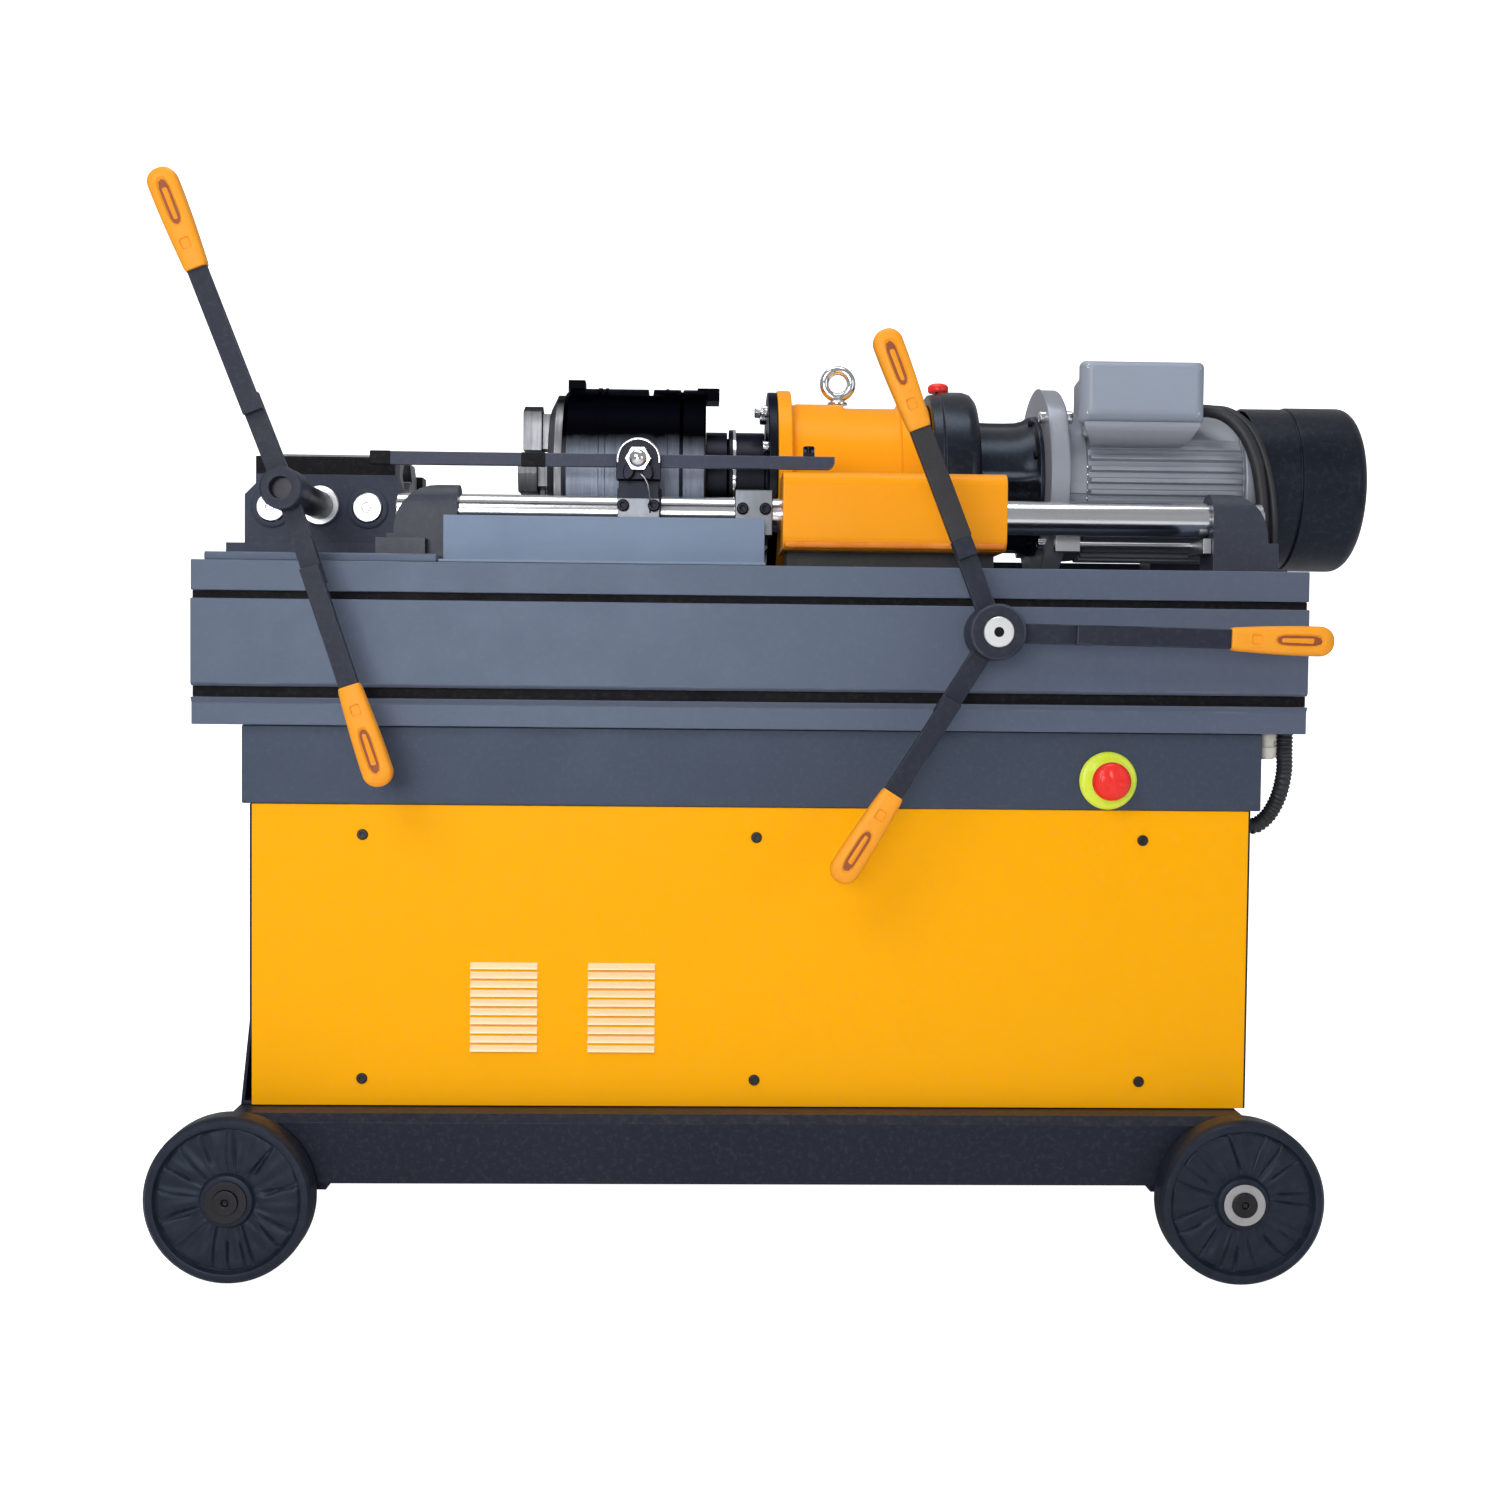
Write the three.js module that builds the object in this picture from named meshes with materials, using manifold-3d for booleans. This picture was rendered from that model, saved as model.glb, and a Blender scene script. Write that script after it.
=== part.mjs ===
// Bar threading machine on four wheels: a cabinet carries a deep bed, a screw vise grips the bar at the left
// and a carriage on two guide rods brings the turning thread-rolling head, its gearbox and motor up to it.
// Millimetres. +X runs along the spindle away from the vise, -Y is the operator's side, +Z is up.
// The origin is on the floor under the middle of the machine, and the spindle axis lies in the plane Y = 0.

import * as THREE from 'three';
import { mergeVertices } from 'three/addons/utils/BufferGeometryUtils.js';
import Module from 'manifold-3d';

const wasm = await Module();
wasm.setup();

// ---- driving dimensions ----

const GAP = 0.3;
const SPINDLE_Z = 830;

const WHEEL_R = 84;
const WHEEL_SIDES = 32;
const WHEEL_Z = WHEEL_R * Math.cos(Math.PI / WHEEL_SIDES);
const WHEEL_Y = 282;
const AXLE_X = { left: -560, right: 456 };
const AXLE_R = 12.6;

const BASE = { x: [-566, 468], y: [-262, 262], z: [92, 162] };
const SHELL = { x: [-556, 479], y: [-219.7, 220], z: [162.3, 474] };
const PANEL = { x: [-553, 476], y: [-223, -220], z: [163, 474] };
const BEAM = { x: [-563, 488], y: [-225, 225], z: [474.3, 554.7] };
const BED = { x: [-611, 530], y: [-240, 240], z: [555, 722] };
const BED_WALL = 20;
const LEFT_DECK_END_X = -365;
const RIGHT_DECK_START_X = 430;

const ROD_Y = 140;
const ROD_Z = 782;
const ROD_R = 18.5;
const ROD_BORE_R = 18.9;
const LEFT_LUG_X = [-426, -352];
const RIGHT_LUG_X = [449, 529];
const LUG_TOP_Z = 809.5;
const LUG_WIDTH = 54;

const VISE_X = -505;
const VISE_Z = 788;
const VISE_TOP_Z = 841;
const VISE_BASE = { x: [-601, -365], y: [-225, 225], z: [722.3, 731] };
const VISE_FOOT_TOP_Z = 747;
const JAW_X = [-580, -430];
const VISE_BARS_X = [-558, -455];
const VISE_BAR_Z = 786.5;
const VISE_BAR_R = 16;
const SCREW_R = 15;
const JAW_FACE_Y = 20;

const HANDLE_BAR_Y = [-300, -290];
const HANDLE_BAR_WIDTH = 20;
const HANDLE_LAP_R = 90;
const GRIP_Y = [-306, -284];
const LEVER_HUB = { r: 21, y: [-310, -262] };
const LEVER_ARMS = [{ name: 'upper', angle: 111.5, reach: 332 }, { name: 'lower', angle: -71.5, reach: 307 }];
const FEED_X = 198.5;
const FEED_Z = 655;
const FEED_HUB = { r: 28, y: [-310, -262] };
const FEED_SPOKES = [
  { name: 'upper', angle: 111.5, reach: 319 },
  { name: 'right', angle: -1, reach: 338 },
  { name: 'lower', angle: 238, reach: 294 },
];
const GRIP_LENGTH = 104;

const GEAR_MODULE = 3;
const PINION_TEETH = 20;
const PINION_R = (GEAR_MODULE * PINION_TEETH) / 2;
const GEAR_Y = [-150, -120];

const CARRIAGE_X = [-5, 216];
const COVER = { x: [-11, 222], y: [-210, -112], z: [741, 822] };
const HEAD_X = [-248, -91];
const HEAD_R = 104;
const BORE_R = 24;
const GEARBOX_X = [-22, 158.7];
const REDUCER_X = [159, 284.5];
const MOTOR_FLANGE_X = [284.8, 308];
const MOTOR_X = [308, 519];
const MOTOR_R = 86;
const COWL_X = [519.3, 646];
const COWL_R = 93;

const POST_X = -161;
const BAR = { x: [-439, 43], y: [-194, -186], z: [825, 838.6] };
const ESTOP_X = 327.5;
const ESTOP_Z = 505;

// ---- colours and finishes ----

const paint = (name, color, roughness, metalness) =>
  new THREE.MeshStandardMaterial({ name, color, roughness, metalness });
const FINISH = {
  slate: paint('slate_paint', 0x4a5060, 0.42, 0.1),
  dark: paint('dark_paint', 0x22242b, 0.5, 0.1),
  yellow: paint('yellow_paint', 0xffb20a, 0.35, 0.05),
  steel: paint('bright_steel', 0xb8bcc2, 0.25, 1),
  black: paint('blackened_steel', 0x16171a, 0.4, 0.8),
  iron: paint('cast_iron', 0x3a3d42, 0.6, 0.6),
  alloy: paint('motor_alloy', 0xa9abae, 0.5, 0.5),
  boxgrey: paint('box_grey', 0x98a1ae, 0.45, 0.1),
  orange: paint('orange_grip', 0xf0912a, 0.45, 0),
  rubber: paint('black_rubber', 0x1b1c20, 0.8, 0),
  wheel: paint('wheel_plastic', 0x2b2e3a, 0.6, 0),
  red: paint('red_plastic', 0xe02a2a, 0.35, 0),
  lime: paint('lime_plastic', 0xd8e63a, 0.4, 0),
  tank: paint('galvanised_sheet', 0x8d9398, 0.45, 0.7),
};

// ---- solids: three.js geometry in, joined and cut as closed bodies ----

function solidOf(geometry) {
  const bare = geometry.clone();
  bare.deleteAttribute('normal');
  bare.deleteAttribute('uv');
  const merged = mergeVertices(bare, 1e-3);
  const positions = merged.attributes.position;
  const index = Array.from(merged.index.array);
  const corner = (i) => new THREE.Vector3().fromBufferAttribute(positions, i);
  const triangles = [];
  let sixVolumes = 0;
  for (let i = 0; i < index.length; i += 3) {
    const [a, b, c] = index.slice(i, i + 3);
    if (a === b || b === c || c === a) continue;
    triangles.push([a, b, c]);
    sixVolumes += corner(a).dot(corner(b).cross(corner(c)));
  }
  const outward = triangles.map(([a, b, c]) => (sixVolumes < 0 ? [a, c, b] : [a, b, c]));
  return new wasm.Manifold(new wasm.Mesh({
    numProp: 3,
    vertProperties: new Float32Array(positions.array),
    triVerts: new Uint32Array(outward.flat()),
  }));
}

function geometryOf(solid) {
  const mesh = solid.getMesh();
  const geometry = new THREE.BufferGeometry();
  geometry.setAttribute('position', new THREE.BufferAttribute(new Float32Array(mesh.vertProperties), 3));
  geometry.setIndex(new THREE.BufferAttribute(new Uint32Array(mesh.triVerts), 1));
  geometry.computeVertexNormals();
  return geometry;
}

const join = (...solids) => solids.reduce((whole, piece) => whole.add(piece));
const cut = (solid, ...tools) => tools.reduce((left, tool) => left.subtract(tool), solid);

function block([x0, x1], [y0, y1], [z0, z1]) {
  const geometry = new THREE.BoxGeometry(x1 - x0, y1 - y0, z1 - z0);
  geometry.translate((x0 + x1) / 2, (y0 + y1) / 2, (z0 + z1) / 2);
  return solidOf(geometry);
}

const AXES = { x: new THREE.Vector3(1, 0, 0), y: new THREE.Vector3(0, 1, 0), z: new THREE.Vector3(0, 0, 1) };
const basis = (a, b, c) => new THREE.Matrix4().makeBasis(a, b, c);

// A flat outline of [u, v] points pushed along one axis: (Y, Z) along X, (X, Z) along Y, (X, Y) along Z.
function prism(axis, outline, [from, to]) {
  const shape = new THREE.Shape(outline.map(([u, v]) => new THREE.Vector2(u, v)));
  const geometry = new THREE.ExtrudeGeometry(shape, { depth: to - from, bevelEnabled: false });
  if (axis === 'x') geometry.applyMatrix4(basis(AXES.y, AXES.z, AXES.x)).translate(from, 0, 0);
  if (axis === 'y') geometry.applyMatrix4(basis(AXES.x, AXES.z, AXES.y.clone().negate())).translate(0, to, 0);
  if (axis === 'z') geometry.translate(0, 0, from);
  return solidOf(geometry);
}

// A turned shape: [along, radius] points round an axis through (u, v), closed on themselves or on the axis.
function turned(axis, profile, sides, [u, v] = [0, 0]) {
  const closed = profile[0][1] > 0 ? [...profile, profile[0]] : profile;
  const points = closed.map(([along, radius]) => new THREE.Vector2(radius, along));
  const geometry = new THREE.LatheGeometry(points, sides, Math.PI / sides);
  if (axis === 'x') geometry.applyMatrix4(basis(AXES.z, AXES.x, AXES.y)).translate(0, u, v);
  if (axis === 'y') geometry.translate(u, 0, v);
  if (axis === 'z') geometry.applyMatrix4(basis(AXES.y, AXES.z, AXES.x)).translate(u, v, 0);
  return solidOf(geometry);
}

const rod = (axis, [from, to], radius, place, sides = 16) =>
  turned(axis, [[from, 0], [from, radius], [to, radius], [to, 0]], sides, place);

const arc = (u, v, radiusU, radiusV, fromDegrees, toDegrees, steps) =>
  Array.from({ length: steps + 1 }, (_, i) => {
    const angle = THREE.MathUtils.degToRad(fromDegrees + ((toDegrees - fromDegrees) * i) / steps);
    return [u + radiusU * Math.cos(angle), v + radiusV * Math.sin(angle)];
  });

// A round cable along a smooth curve through hand-placed points.
function cable(points, radius, sides, steps) {
  const path = new THREE.CatmullRomCurve3(points.map((p) => new THREE.Vector3(...p)));
  const section = new THREE.Shape(arc(0, 0, radius, radius, 0, 360 - 360 / sides, sides - 1)
    .map(([u, v]) => new THREE.Vector2(u, v)));
  return solidOf(new THREE.ExtrudeGeometry(section, { steps, extrudePath: path, bevelEnabled: false }));
}

// ---- the scene graph: one group for each rigid body ----

const machine = new THREE.Group();

function body(name, ...meshes) {
  const group = new THREE.Group();
  group.name = `${name}_group`;
  group.add(...meshes);
  machine.add(group);
  return group;
}

function piece(name, solid, material, position = [0, 0, 0], rotation = [0, 0, 0]) {
  const mesh = new THREE.Mesh(geometryOf(solid), material);
  mesh.name = name;
  mesh.position.set(...position);
  mesh.rotation.set(...rotation);
  return mesh;
}

// ---- base, axles and wheels ----

function baseFrame() {
  const sheet = 6;
  const ledge = 62;
  const chamfer = 8;
  const [y0, y1] = BASE.y;
  const [z0, z1] = BASE.z;
  const skirt = prism('x', [
    [y0, z0], [y1, z0], [y1, z1 - chamfer], [y1 - chamfer, z1], [y0 + chamfer, z1], [y0, z1 - chamfer],
  ], BASE.x);
  const shrunk = (range, by) => [range[0] + by, range[1] - by];
  const inside = block(shrunk(BASE.x, sheet), shrunk(BASE.y, sheet), [z0 - 1, z1 - sheet]);
  const top = block(shrunk(BASE.x, ledge), shrunk(BASE.y, ledge), [z0, z1 + 1]);
  let frame = cut(skirt, inside, top);
  const carrier = { length: 96, thick: 8, halfBlock: 24, drop: 22, blockY: [205, 252] };
  for (const [x0, x1, axle] of [
    [BASE.x[0], BASE.x[0] + carrier.length, AXLE_X.left],
    [BASE.x[1] - carrier.length, BASE.x[1], AXLE_X.right],
  ]) {
    for (const side of [-1, 1]) {
      const across = [side * carrier.blockY[0], side * carrier.blockY[1]].sort((a, b) => a - b);
      const plate = block([x0, x1], [across[0] - 4, across[1] + 4], [z0 - carrier.thick, z0 + 0.5]);
      const bearingX = [
        Math.max(axle - carrier.halfBlock, x0 - 18), Math.min(axle + carrier.halfBlock, x1 + 12),
      ];
      const bearing = block(bearingX, across, [z0 - carrier.thick - carrier.drop, z0 - 2]);
      frame = join(frame, plate, bearing);
    }
    frame = cut(frame, rod('y', [y0 - 9, y1 + 9], AXLE_R + 0.6, [axle, WHEEL_Z]));
  }
  return piece('base_frame', frame, FINISH.dark);
}

function axle(side) {
  const end = 307;
  const collar = [301.4, 304.4];
  const shaft = rod('y', [-end, end], AXLE_R, [0, 0]);
  const washers = [-1, 1].map((s) =>
    rod('y', [s * collar[0], s * collar[1]].sort((a, b) => a - b), 21, [0, 0]));
  return piece(`axle_${side}`, join(shaft, ...washers), FINISH.steel, [AXLE_X[side], 0, WHEEL_Z]);
}

function wheel(end, side) {
  const hubHalf = 19;
  const halfWidth = 18;
  const bore = AXLE_R + 0.8;
  const profile = [
    [-hubHalf, bore], [-hubHalf, 26], [-13, 28], [-13, 68], [-halfWidth, 73], [-halfWidth, 80],
    [-13, WHEEL_R], [13, WHEEL_R], [halfWidth, 80], [hubHalf, bore],
  ];
  const disc = turned('y', profile, WHEEL_SIDES);
  const front = end === 'front';
  return piece(`wheel_${end}_${side}`, disc, FINISH.wheel,
    [AXLE_X[side], front ? -WHEEL_Y : WHEEL_Y, WHEEL_Z], [0, 0, front ? 0 : Math.PI]);
}

// ---- cabinet ----

function cabinetShell() {
  const sheet = 4;
  const flare = 9;
  const flareTop = 250;
  const [x0, x1] = SHELL.x;
  const [z0, z1] = SHELL.z;
  const tray = prism('y', [
    [x0 - flare, z0], [x1, z0], [x1, z1], [x1 - sheet, z1], [x1 - sheet, z0 + sheet],
    [x0 + sheet - flare, z0 + sheet], [x0 + sheet, flareTop], [x0 + sheet, z1], [x0, z1], [x0, flareTop],
  ], SHELL.y);
  const back = block([x0 + 1, x1 - 1], [SHELL.y[1] - sheet, SHELL.y[1]], [z0, z1]);
  return piece('cabinet_shell', join(tray, back), FINISH.dark);
}

function frontPanel() {
  const louvre = { x: [-328, -207], width: 67, z0: 219, pitch: 9.5, slots: 10, height: 4.5 };
  const screwX = [-440, -35.5, 365.5];
  const screwZ = [191, 443];
  const through = [PANEL.y[0] - 1, PANEL.y[1] + 1];
  let panel = block(PANEL.x, PANEL.y, PANEL.z);
  for (const x of louvre.x) {
    for (let i = 0; i < louvre.slots; i += 1) {
      const z = louvre.z0 + i * louvre.pitch;
      panel = cut(panel, block([x, x + louvre.width], through, [z, z + louvre.height]));
    }
  }
  for (const x of screwX) {
    for (const z of screwZ) {
      panel = cut(panel, rod('y', through, 5, [x, z], 10));
    }
  }
  return piece('front_panel', panel, FINISH.yellow);
}

function controlBeam() {
  const sheet = 5;
  const flange = 45;
  const inset = (range, by) => [range[0] + by, range[1] - by];
  const outer = block(BEAM.x, BEAM.y, BEAM.z);
  const through = block(inset(BEAM.x, flange), inset(BEAM.y, flange), inset(BEAM.z, -1));
  const channel = block(inset(BEAM.x, sheet), inset(BEAM.y, sheet), inset(BEAM.z, sheet));
  const buttonHole = rod('y', [BEAM.y[0] - 1, BEAM.y[0] + sheet + 1], 12, [ESTOP_X, ESTOP_Z]);
  return piece('control_beam', cut(outer, through, channel, buttonHole), FINISH.dark);
}

function coolantTank() {
  const outer = block([-500, -190], [-150, 150], [167, 330]);
  const inside = block([-497, -193], [-147, 147], [170, 331]);
  return piece('coolant_tank', cut(outer, inside), FINISH.tank);
}

function coolantPump() {
  const base = block([-140, -50], [-45, 45], [167, 175]);
  const profile = [[174, 0], [174, 38], [230, 38], [236, 46], [330, 46], [338, 30], [338, 0]];
  const barrel = turned('z', profile, 20, [-95, 0]);
  const outlet = rod('x', [-140, -95], 12, [0, 205], 12);
  return piece('coolant_pump', join(base, barrel, outlet), FINISH.iron);
}

function electricalPanel() {
  const plate = block([120, 420], [208, 212], [210, 450]);
  const contactors = [150, 230, 310].map((x) => block([x, x + 56], [150, 209], [340, 420]));
  const transformer = block([170, 280], [140, 209], [230, 310]);
  const terminals = block([300, 400], [185, 209], [250, 275]);
  return piece('electrical_panel', join(plate, ...contactors, transformer, terminals), FINISH.tank);
}

// ---- emergency stop ----

function estopPlate() {
  const face = BEAM.y[0] - GAP;
  const profile = [[face - 4, 30], [face, 30], [face, 11], [face - 9, 11], [face - 9, 17], [face - 4, 24]];
  return piece('estop_plate', turned('y', profile, 20, [ESTOP_X, ESTOP_Z]), FINISH.lime);
}

function estopButton() {
  const profile = [
    [-253, 0], [-252, 10], [-249, 17], [-244, 20], [-240, 19], [-240, 9.5], [-206, 9.5], [-206, 0],
  ];
  return piece('estop_button', turned('y', profile, 16, [ESTOP_X, ESTOP_Z]), FINISH.red);
}

// ---- bed ----

function bedWallOutline() {
  const groove = -228;
  return [
    [-236, 555], [-236, 577], [-240, 583], [groove, 583], [groove, 594], [-237, 594], [-240, 597],
    [-240, 683], [groove, 683], [groove, 691], [-238, 691], [-238, 722], [BED.y[0] + BED_WALL, 722],
    [BED.y[0] + BED_WALL, 561],
  ];
}

function bed() {
  const front = bedWallOutline();
  const rear = front.map(([y, z]) => [-y, z]).reverse();
  const trough = prism('x', [...front, ...rear], BED.x);
  const innerY = [BED.y[0] + 10, BED.y[1] - 10];
  const endPlate = 10;
  const plates = [BED.x[0], BED.x[1] - endPlate].map((x) => block([x, x + endPlate], innerY, [556, 722]));
  const leftDeck = block([BED.x[0], LEFT_DECK_END_X], innerY, [710, 722]);
  const rightDeck = block([RIGHT_DECK_START_X, BED.x[1]], innerY, [710, 722]);
  const bossY = [BED.y[0] + BED_WALL - 2, -172];
  const boss = rod('y', bossY, 30, [FEED_X, FEED_Z]);
  const whole = join(trough, ...plates, leftDeck, rightDeck, boss);
  const shaftBore = rod('y', [BED.y[0] - 1, bossY[1] + 1], 13.6, [FEED_X, FEED_Z]);
  const flangeNotch = block([RIGHT_DECK_START_X - 1, RIGHT_DECK_START_X + 42], [-95, 95], [700, 730]);
  return piece('bed', cut(whole, shaftBore, flangeNotch), FINISH.slate);
}

function rearSplashRail() {
  const profile = [[205, 722.3], [236, 722.3], [236, 725.3], [208, 725.3], [208, 757], [205, 757]];
  return piece('rear_splash_rail', prism('x', profile, [-30, 505]), FINISH.dark);
}

function guardPlate() {
  const profile = [[-236, 722.3], [-198, 722.3], [-198, 773], [-201, 773], [-201, 725.3], [-236, 725.3]];
  return piece('guard_plate', prism('x', profile, [-362, -29.5]), FINISH.slate);
}

// ---- guide rods, their brackets and the clamps on the front rod ----

const guideRod = (end) =>
  piece(`guide_rod_${end}`, rod('x', [-418, 507], ROD_R, [0, 0], 20), FINISH.steel,
    [0, end === 'front' ? -ROD_Y : ROD_Y, ROD_Z]);

function rodBracket(side, end) {
  const left = side === 'left';
  const [outer, inner] = left ? LEFT_LUG_X : [RIGHT_LUG_X[1], RIGHT_LUG_X[0]];
  const away = left ? -1 : 1;
  const bottom = left ? VISE_BASE.z[1] + GAP : BED.z[1] + GAP;
  const shoulder = 757;
  const crown = 20;
  const lugDepth = left ? 67 : 59;
  const lugEdge = inner + away * lugDepth;
  const half = LUG_WIDTH / 2;
  const crownX = inner + away * crown;
  const curve = arc(crownX, shoulder, away * (lugDepth - crown), LUG_TOP_Z - shoulder, 90, 0, 7);
  const foot = left ? [[outer, shoulder - 1]] : [[outer - 10, shoulder - 1], [outer - 10, 729], [outer, 729]];
  const sideOutline = [
    [inner, bottom], [inner, LUG_TOP_Z], ...curve, [lugEdge, shoulder - 1], ...foot, [outer, bottom],
  ];
  const arch = prism('x', [
    [-half, bottom - 1], [half, bottom - 1], ...arc(0, ROD_Z, half, LUG_TOP_Z - ROD_Z + 0.5, 0, 180, 12),
  ], [Math.min(outer, inner) - 1, Math.max(outer, inner) + 1]);
  let lug = prism('y', sideOutline, [-half, half]).intersect(arch);
  if (left) lug = join(lug, boltedToe(outer, bottom, end));
  const bored = cut(lug, rod('x', [outer - 100, outer + 200], ROD_BORE_R, [0, ROD_Z], 20));
  return piece(`rod_bracket_${side}_${end}`, bored, FINISH.slate, [0, end === 'front' ? -ROD_Y : ROD_Y, 0]);
}

// The low block beside a left bracket that its bolt goes through, on the side away from the spindle.
function boltedToe(outerX, bottom, end) {
  const outward = end === 'front' ? -1 : 1;
  const across = [outward * (LUG_WIDTH / 2 - 1), outward * (LUG_WIDTH / 2 + 16)].sort((a, b) => a - b);
  return block([outerX - 9, outerX + 43], across, [bottom, bottom + 19]);
}

function clampBlock([x0, x1]) {
  const around = block([x0, x1], [-166, -114], [758, 806]);
  const split = block([x0 - 1, x1 + 1], [-141, -139], [795, 807]);
  return cut(around, rod('x', [x0 - 1, x1 + 1], ROD_BORE_R, [-ROD_Y, ROD_Z], 20), split);
}

const stopBlock = () => piece('stop_block', clampBlock([-60, -20]), FINISH.black);

function barPost() {
  const half = 23;
  const [x0, x1] = [POST_X - half, POST_X + half];
  const column = block([x0 + 2, x1 - 2], [-184, -165], [760, 820]);
  const centreZ = (BAR.z[0] + BAR.z[1]) / 2;
  const eyeOutline = [...arc(POST_X, centreZ, half, half, 0, 180, 12), [x0, 812], [x1, 812]];
  const eye = prism('y', eyeOutline, [-200, -180]);
  const play = 0.6;
  const window = block(
    [x0 - 1, x1 + 1], [BAR.y[0] - play, BAR.y[1] + play], [BAR.z[0] - play, BAR.z[1] + play]);
  const screwHole = rod('y', [-201, BAR.y[0]], 5.6, [POST_X, centreZ], 16);
  return piece('bar_post', cut(join(clampBlock([x0, x1]), column, eye), window, screwHole), FINISH.black);
}

function strokeBar() {
  const [x0, x1] = BAR.x;
  const [z0, z1] = BAR.z;
  const outline = [[x0, z0], ...arc(x1 - 8, z0 + 8, 8, 8, -90, 0, 5), [x1, z1], [x0, z1]];
  const bar = prism('y', outline, BAR.y);
  const adjuster = block([10, 22], [-192, -188], [z1 - 1, z1 + 10]);
  return piece('stroke_bar', join(bar, adjuster), FINISH.slate);
}

function lockKnob() {
  const centreZ = (BAR.z[0] + BAR.z[1]) / 2;
  const stem = turned('y', [
    [-222, 0], [-221, 8], [-217, 11], [-212, 12], [-206, 10], [-200.4, 10], [-200.4, 5], [-195.2, 5],
    [-195.2, 0],
  ], 12, [POST_X, centreZ]);
  const wings = [-1, 1].map((side) => prism('y', [
    [POST_X + side * 4, centreZ - 6], [POST_X + side * 6, centreZ - 22], [POST_X + side * 18, centreZ - 18],
    [POST_X + side * 12, centreZ - 2],
  ].sort((a, b) => Math.atan2(a[1] - centreZ + 12, a[0] - POST_X - side * 10)
    - Math.atan2(b[1] - centreZ + 12, b[0] - POST_X - side * 10)), [-210, -205]));
  return piece('lock_knob', join(stem, ...wings), FINISH.steel);
}

// ---- vise ----

const viseBase = () => piece('vise_base', block(VISE_BASE.x, VISE_BASE.y, VISE_BASE.z), FINISH.slate);

function viseBores(radiusForScrew, radiusForBars) {
  const reach = [-140, 140];
  return [
    rod('y', reach, radiusForScrew, [VISE_X, VISE_Z]),
    ...VISE_BARS_X.map((x) => rod('y', reach, radiusForBars, [x, VISE_BAR_Z])),
  ];
}

function viseHousing() {
  const bottom = VISE_FOOT_TOP_Z - 1;
  const [left, right] = [-587, -414];
  const foot = block([left - 16, LEFT_LUG_X[0] - 1], [-128, 128], [VISE_BASE.z[1] + GAP, VISE_FOOT_TOP_Z]);
  const floor = block([left, right], [-86, 86], [bottom, 764]);
  const outline = [
    [left, bottom], [right, bottom], [right, 790], [right - 11, 822], [right - 11, VISE_TOP_Z],
    [left + 12, VISE_TOP_Z], [left + 12, 812], [left, 800],
  ];
  const cheeks = [[-112, -85], [85, 112]].map((range) => prism('y', outline, range));
  const bores = viseBores(SCREW_R + 0.4, VISE_BAR_R + 0.4);
  return piece('vise_housing', cut(join(foot, floor, ...cheeks), ...bores), FINISH.slate);
}

function viseGuideBar(side, x) {
  const bar = rod('y', [-117, 117], VISE_BAR_R, [0, 0]);
  return piece(`vise_guide_bar_${side}`, bar, FINISH.steel, [x, 0, VISE_BAR_Z]);
}

function viseScrew() {
  const profile = [
    [-298, 0], [-298, 10.8], [-261, 10.8], [-261, SCREW_R], [-123, SCREW_R], [-123, 21], [-112.4, 21],
    [-112.4, SCREW_R], [128, SCREW_R], [128, 0],
  ];
  return piece('vise_screw', turned('y', profile, 16), FINISH.steel, [VISE_X, 0, VISE_Z]);
}

function viseJaw(end) {
  const back = 70;
  const vee = { depth: 14, half: 17 };
  const slope = 14;
  const [bottom, top] = [766, 850];
  const side = end === 'front' ? 1 : -1;
  const outline = [
    [-back, bottom], [-JAW_FACE_Y, bottom], [-JAW_FACE_Y, SPINDLE_Z - vee.half],
    [-JAW_FACE_Y - vee.depth, SPINDLE_Z], [-JAW_FACE_Y, SPINDLE_Z + vee.half], [-JAW_FACE_Y, top],
    [-back + slope, top], [-back, top - slope],
  ].map(([y, z]) => [side * y, z]);
  const jaw = cut(prism('x', outline, JAW_X), ...viseBores(SCREW_R + 0.6, VISE_BAR_R + 0.6));
  return piece(`vise_jaw_${end}`, jaw, FINISH.iron);
}

// ---- handles: a hub with flat bars, lapped and welded, and a moulded grip on each end ----

function handleBars(arms, hub) {
  const half = HANDLE_BAR_WIDTH / 2;
  const thick = HANDLE_BAR_Y[1] - HANDLE_BAR_Y[0];
  const lap = 10;
  const innerY = [HANDLE_BAR_Y[1] - 0.5, HANDLE_BAR_Y[1] + thick];
  return arms.flatMap(({ angle, reach }) => {
    const inner = block([hub.r - 6, HANDLE_LAP_R + lap], innerY, [-half, half]);
    const outer = block([HANDLE_LAP_R - lap, reach - 22], HANDLE_BAR_Y, [-half, half]);
    return [inner, outer].map((bar) => bar.rotate([0, -angle, 0]));
  });
}

function handle(name, arms, hub, boreR, place) {
  const boss = rod('y', hub.y, hub.r, [0, 0], 20);
  const bore = rod('y', [hub.y[0] - 1, hub.y[1] + 1], boreR, [0, 0]);
  return piece(name, cut(join(boss, ...handleBars(arms, hub)), bore), FINISH.slate, [place[0], 0, place[1]]);
}

function grip(name, { angle, reach }, place) {
  const start = reach - GRIP_LENGTH;
  const wide = 15;
  const neck = 12;
  const outline = [
    [start, -neck], [start + 6, -neck - 1], [reach - 30, -wide], ...arc(reach - 16, 0, 16, wide, -90, 90, 8),
    [reach - 30, wide], [start + 6, neck + 1], [start, neck],
  ];
  const half = HANDLE_BAR_WIDTH / 2 + GAP;
  const pocketY = [HANDLE_BAR_Y[0] - GAP, HANDLE_BAR_Y[1] + GAP];
  const pocket = block([start - 1, reach - 21], pocketY, [-half, half]);
  return piece(name, cut(prism('y', outline, GRIP_Y), pocket), FINISH.orange, [place[0], 0, place[1]],
    [0, THREE.MathUtils.degToRad(-angle), 0]);
}

// ---- feed pinion and rack ----

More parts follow.
